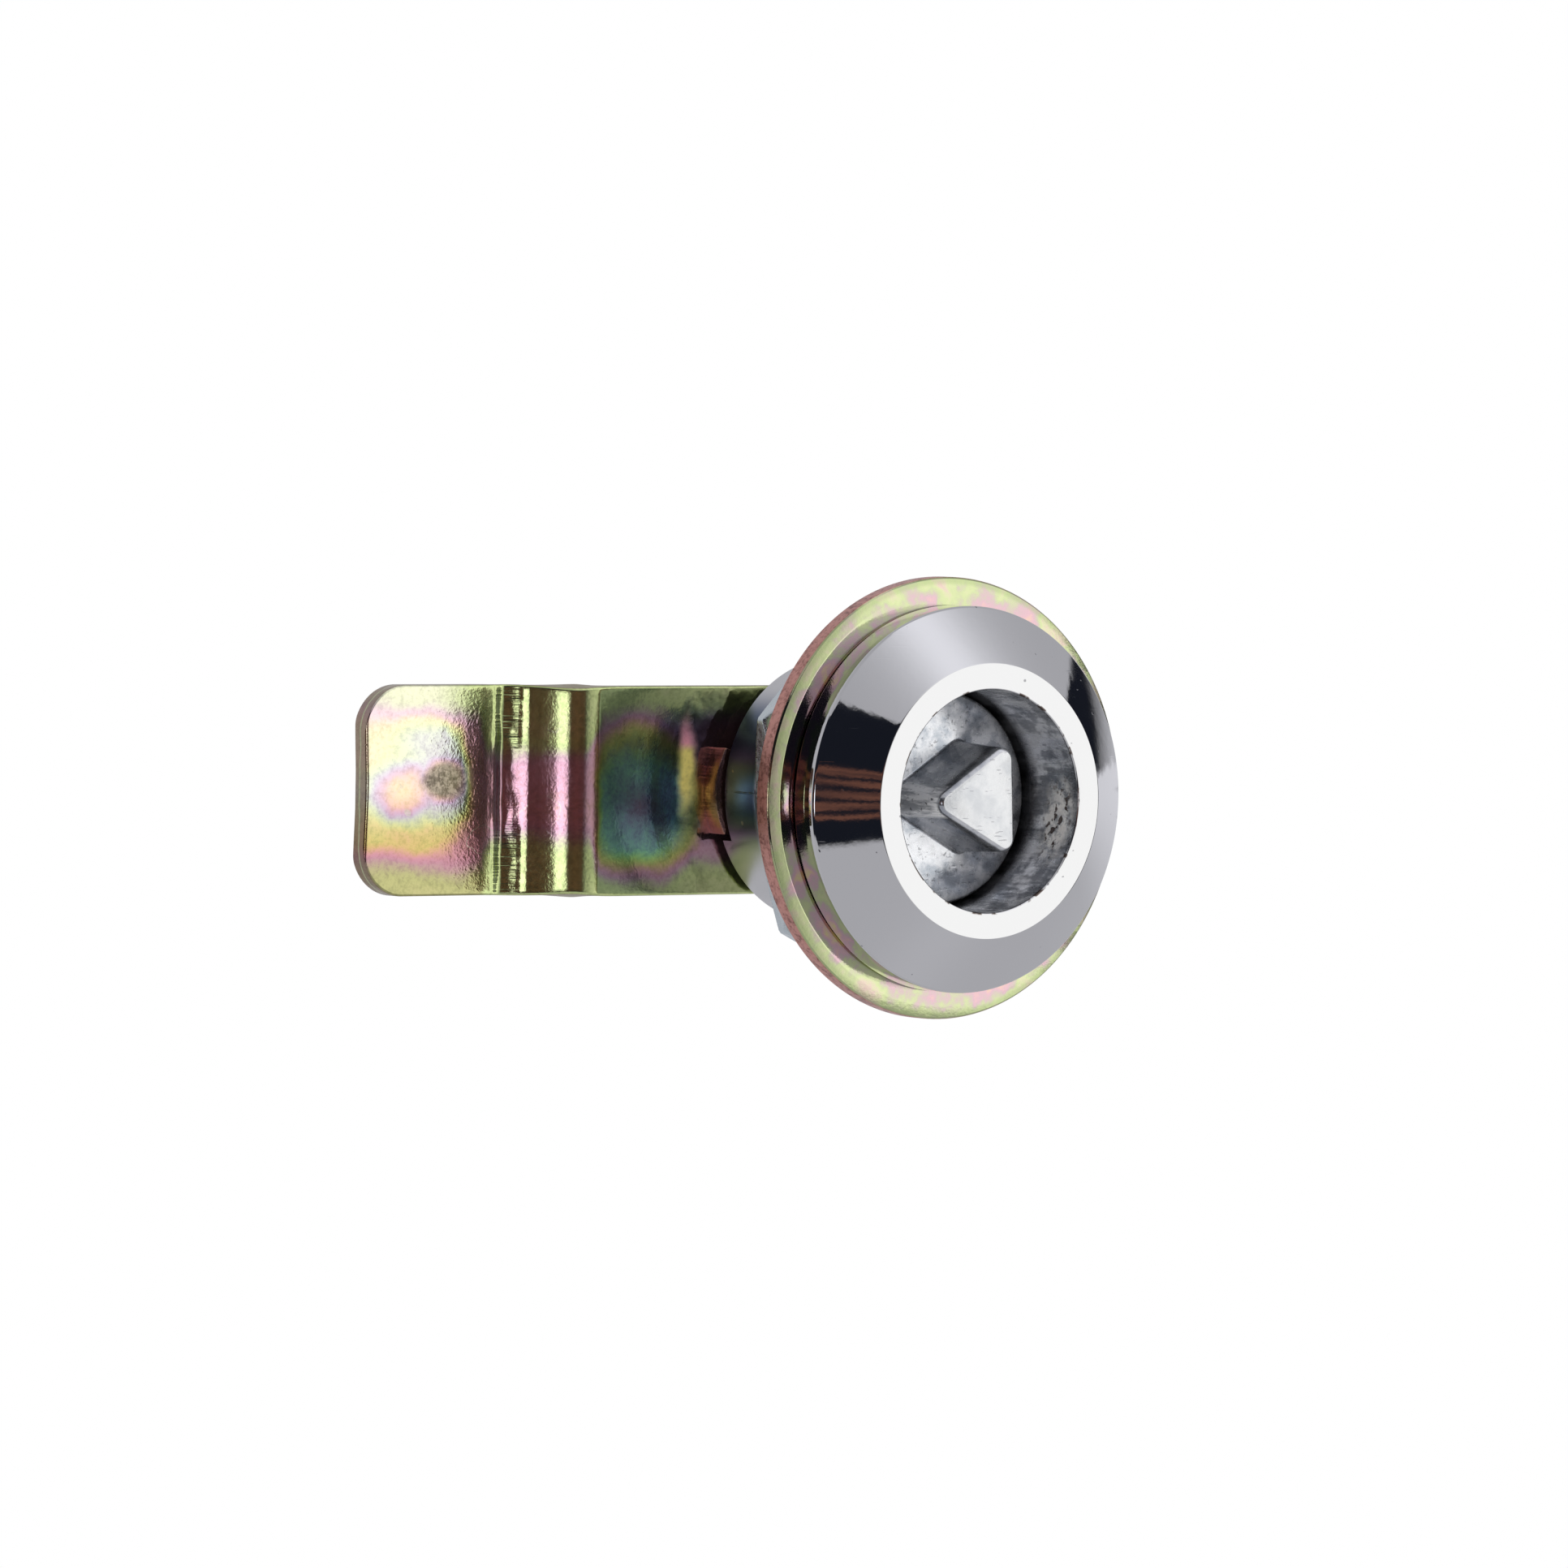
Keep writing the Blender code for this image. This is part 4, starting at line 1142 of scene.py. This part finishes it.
def make_world():
    """White studio as the metal reflects it, by direction; the camera itself sees plain white.

    Azimuths are in degrees from the front, positive to the right. z is the elevation's sine.
    """
    world = bpy.data.worlds.new("studio")
    bpy.context.scene.world = world
    world.use_nodes = True
    nodes = Nodes(world.node_tree)
    direction = nodes.add("ShaderNodeTexCoord").outputs["Generated"]
    x, y, z = nodes.split(direction)
    azimuth = nodes.times(nodes.math("ARCTAN2", x, nodes.times(y, -1.0)), 360 / TURN)
    ragged = nodes.times_plus(nodes.streaks(direction, (34, 34, 9), 4, 0.6), 0.09, -0.045)
    teeth = nodes.streaks(direction, (4, 4, 55), 3, 0.6)
    toothed = nodes.plus(azimuth, nodes.step(teeth, 0.4, 0.68, 0.0, 9.0))

    # Ceiling and table, both brightest near azimuth 32.
    off_centre = nodes.math("DIVIDE", nodes.minus(azimuth, 32.0), 31.0)
    hump = nodes.math("EXPONENT", nodes.times(off_centre, off_centre, -1.0))
    above = nodes.plus(nodes.times_plus(x, 0.18, z), ragged)
    ceiling = nodes.times(nodes.step(above, 0.475, 0.505), nodes.times_plus(hump, 0.62, 0.56))
    table = nodes.times(nodes.step(z, -0.29, -0.345), nodes.times_plus(hump, 0.06, 0.60))

    # Key light at the right, side light behind it, a strip at the left and the wall behind.
    key = nodes.times(
        nodes.band(toothed, 8, 64, 6),
        nodes.band(z, -0.42, 0.44, 0.05),
        nodes.step(azimuth, 8, 33, 0.55, 1.5),
    )
    side = nodes.times(
        nodes.band(toothed, 88, 122, 6),
        nodes.step(nodes.plus(z, ragged), 0.06, 0.02),
        nodes.step(z, -0.3, 0.0, 0.6, 0.9),
    )
    strip = nodes.times(nodes.band(azimuth, -52, -41, 1.0), nodes.band(z, -0.12, 0.05, 0.04), 2.2)
    wall = nodes.times(nodes.step(y, 0.15, 0.35), 0.62)
    level = ceiling
    for light in (table, key, side, strip, wall):
        level = nodes.larger(level, light)

    # What isn't lit is dark blue, with warm uneven slats.
    uneven = nodes.streaks(direction, (3, 3, 30), 3)
    slats = nodes.math("FRACT", nodes.times_plus(uneven, 0.8, nodes.times(z, 13.0)))
    slats = nodes.times(
        nodes.band(slats, 0.2, 0.8, 0.15),
        nodes.step(uneven, 0.3, 0.65, 0.4, 1.2),
        nodes.band(z, -0.16, 0.2, 0.01),
        nodes.band(azimuth, -80, 4, 6),
    )
    dark = nodes.mix(slats, (0.012, 0.014, 0.022, 1), (0.20, 0.085, 0.06, 1))
    tint = nodes.mix(nodes.step(key, 0.3, 0.6), (1.0, 1.0, 1.07, 1), grey(1.0))
    white = nodes.stretch(nodes.triple(level), tint)
    colour = nodes.mix(nodes.step(level, 0.0, 0.25), dark, white)

    seen = nodes.add("ShaderNodeLightPath").outputs["Is Camera Ray"]
    reflected = nodes.add("ShaderNodeBackground", {"Color": colour}).outputs[0]
    plain = nodes.add("ShaderNodeBackground", {"Color": grey(1.0), "Strength": 1.0}).outputs[0]
    both = nodes.add("ShaderNodeMixShader", {0: seen, 1: reflected, 2: plain})
    nodes.add("ShaderNodeOutputWorld", {"Surface": both.outputs[0]})


def make_camera():
    """Long lens in front of the lock and to its left, level with its axis."""
    azimuth = math.radians(-36.89)
    elevation = math.radians(2.14)
    roll = math.radians(1.06)
    distance = 851.9 * MM
    shift_right, shift_up = 12.27 * MM, -1.08 * MM
    sensor_width = 36
    focal, image_width = 14000, 1932  # in pixels
    back = Vector((
        math.sin(azimuth) * math.cos(elevation),
        -math.cos(azimuth) * math.cos(elevation),
        math.sin(elevation),
    ))
    level = Vector((math.cos(azimuth), math.sin(azimuth), 0))
    up = back.cross(level)
    right = level * math.cos(roll) + up * math.sin(roll)
    over = up * math.cos(roll) - level * math.sin(roll)
    data = bpy.data.cameras.new("camera")
    data.sensor_width = sensor_width
    data.lens = sensor_width * focal / image_width
    data.clip_end = 10
    camera = bpy.data.objects.new("camera", data)
    turn = Matrix((right, over, back)).transposed().to_4x4()
    place = back * distance - right * shift_right - over * shift_up
    camera.matrix_world = Matrix.Translation(place) @ turn
    bpy.context.scene.collection.objects.link(camera)
    bpy.context.scene.camera = camera


def make_floor():
    """A plain white floor well below the lock, which the metal doesn't reflect."""
    material, nodes, _ = new_material("floor_white")
    emission = nodes.add("ShaderNodeEmission", {"Color": grey(1.0), "Strength": 1.0})
    nodes.add("ShaderNodeOutputMaterial", {"Surface": emission.outputs[0]})
    half, floor_z = 1.5, -70 * MM
    corners = [(-half, -half), (half, -half), (half, half), (-half, half)]
    mesh = bpy.data.meshes.new("floor")
    mesh.from_pydata([(x, y, floor_z) for x, y in corners], [], [[0, 1, 2, 3]])
    mesh.materials.append(material)
    floor = bpy.data.objects.new("floor", mesh)
    bpy.context.scene.collection.objects.link(floor)
    floor.visible_glossy = False


make_housing(chrome_material())
make_spindle(spindle_material())
make_oring(rubber_material())
make_washer(washer_material())
make_nut(nut_material())
make_cam(cam_material())
bright_zinc = plain_metal("bright_zinc", (0.66, 0.67, 0.68, 1), 1800, 0.2, 0.35)
make_flat_washer(bright_zinc)
make_spring_washer(plain_metal("spring_steel", (0.36, 0.36, 0.37, 1), 2200, 0.25, 0.4))
make_screw(bright_zinc)

make_world()
make_camera()
make_floor()
bpy.context.scene.view_settings.view_transform = "Standard"
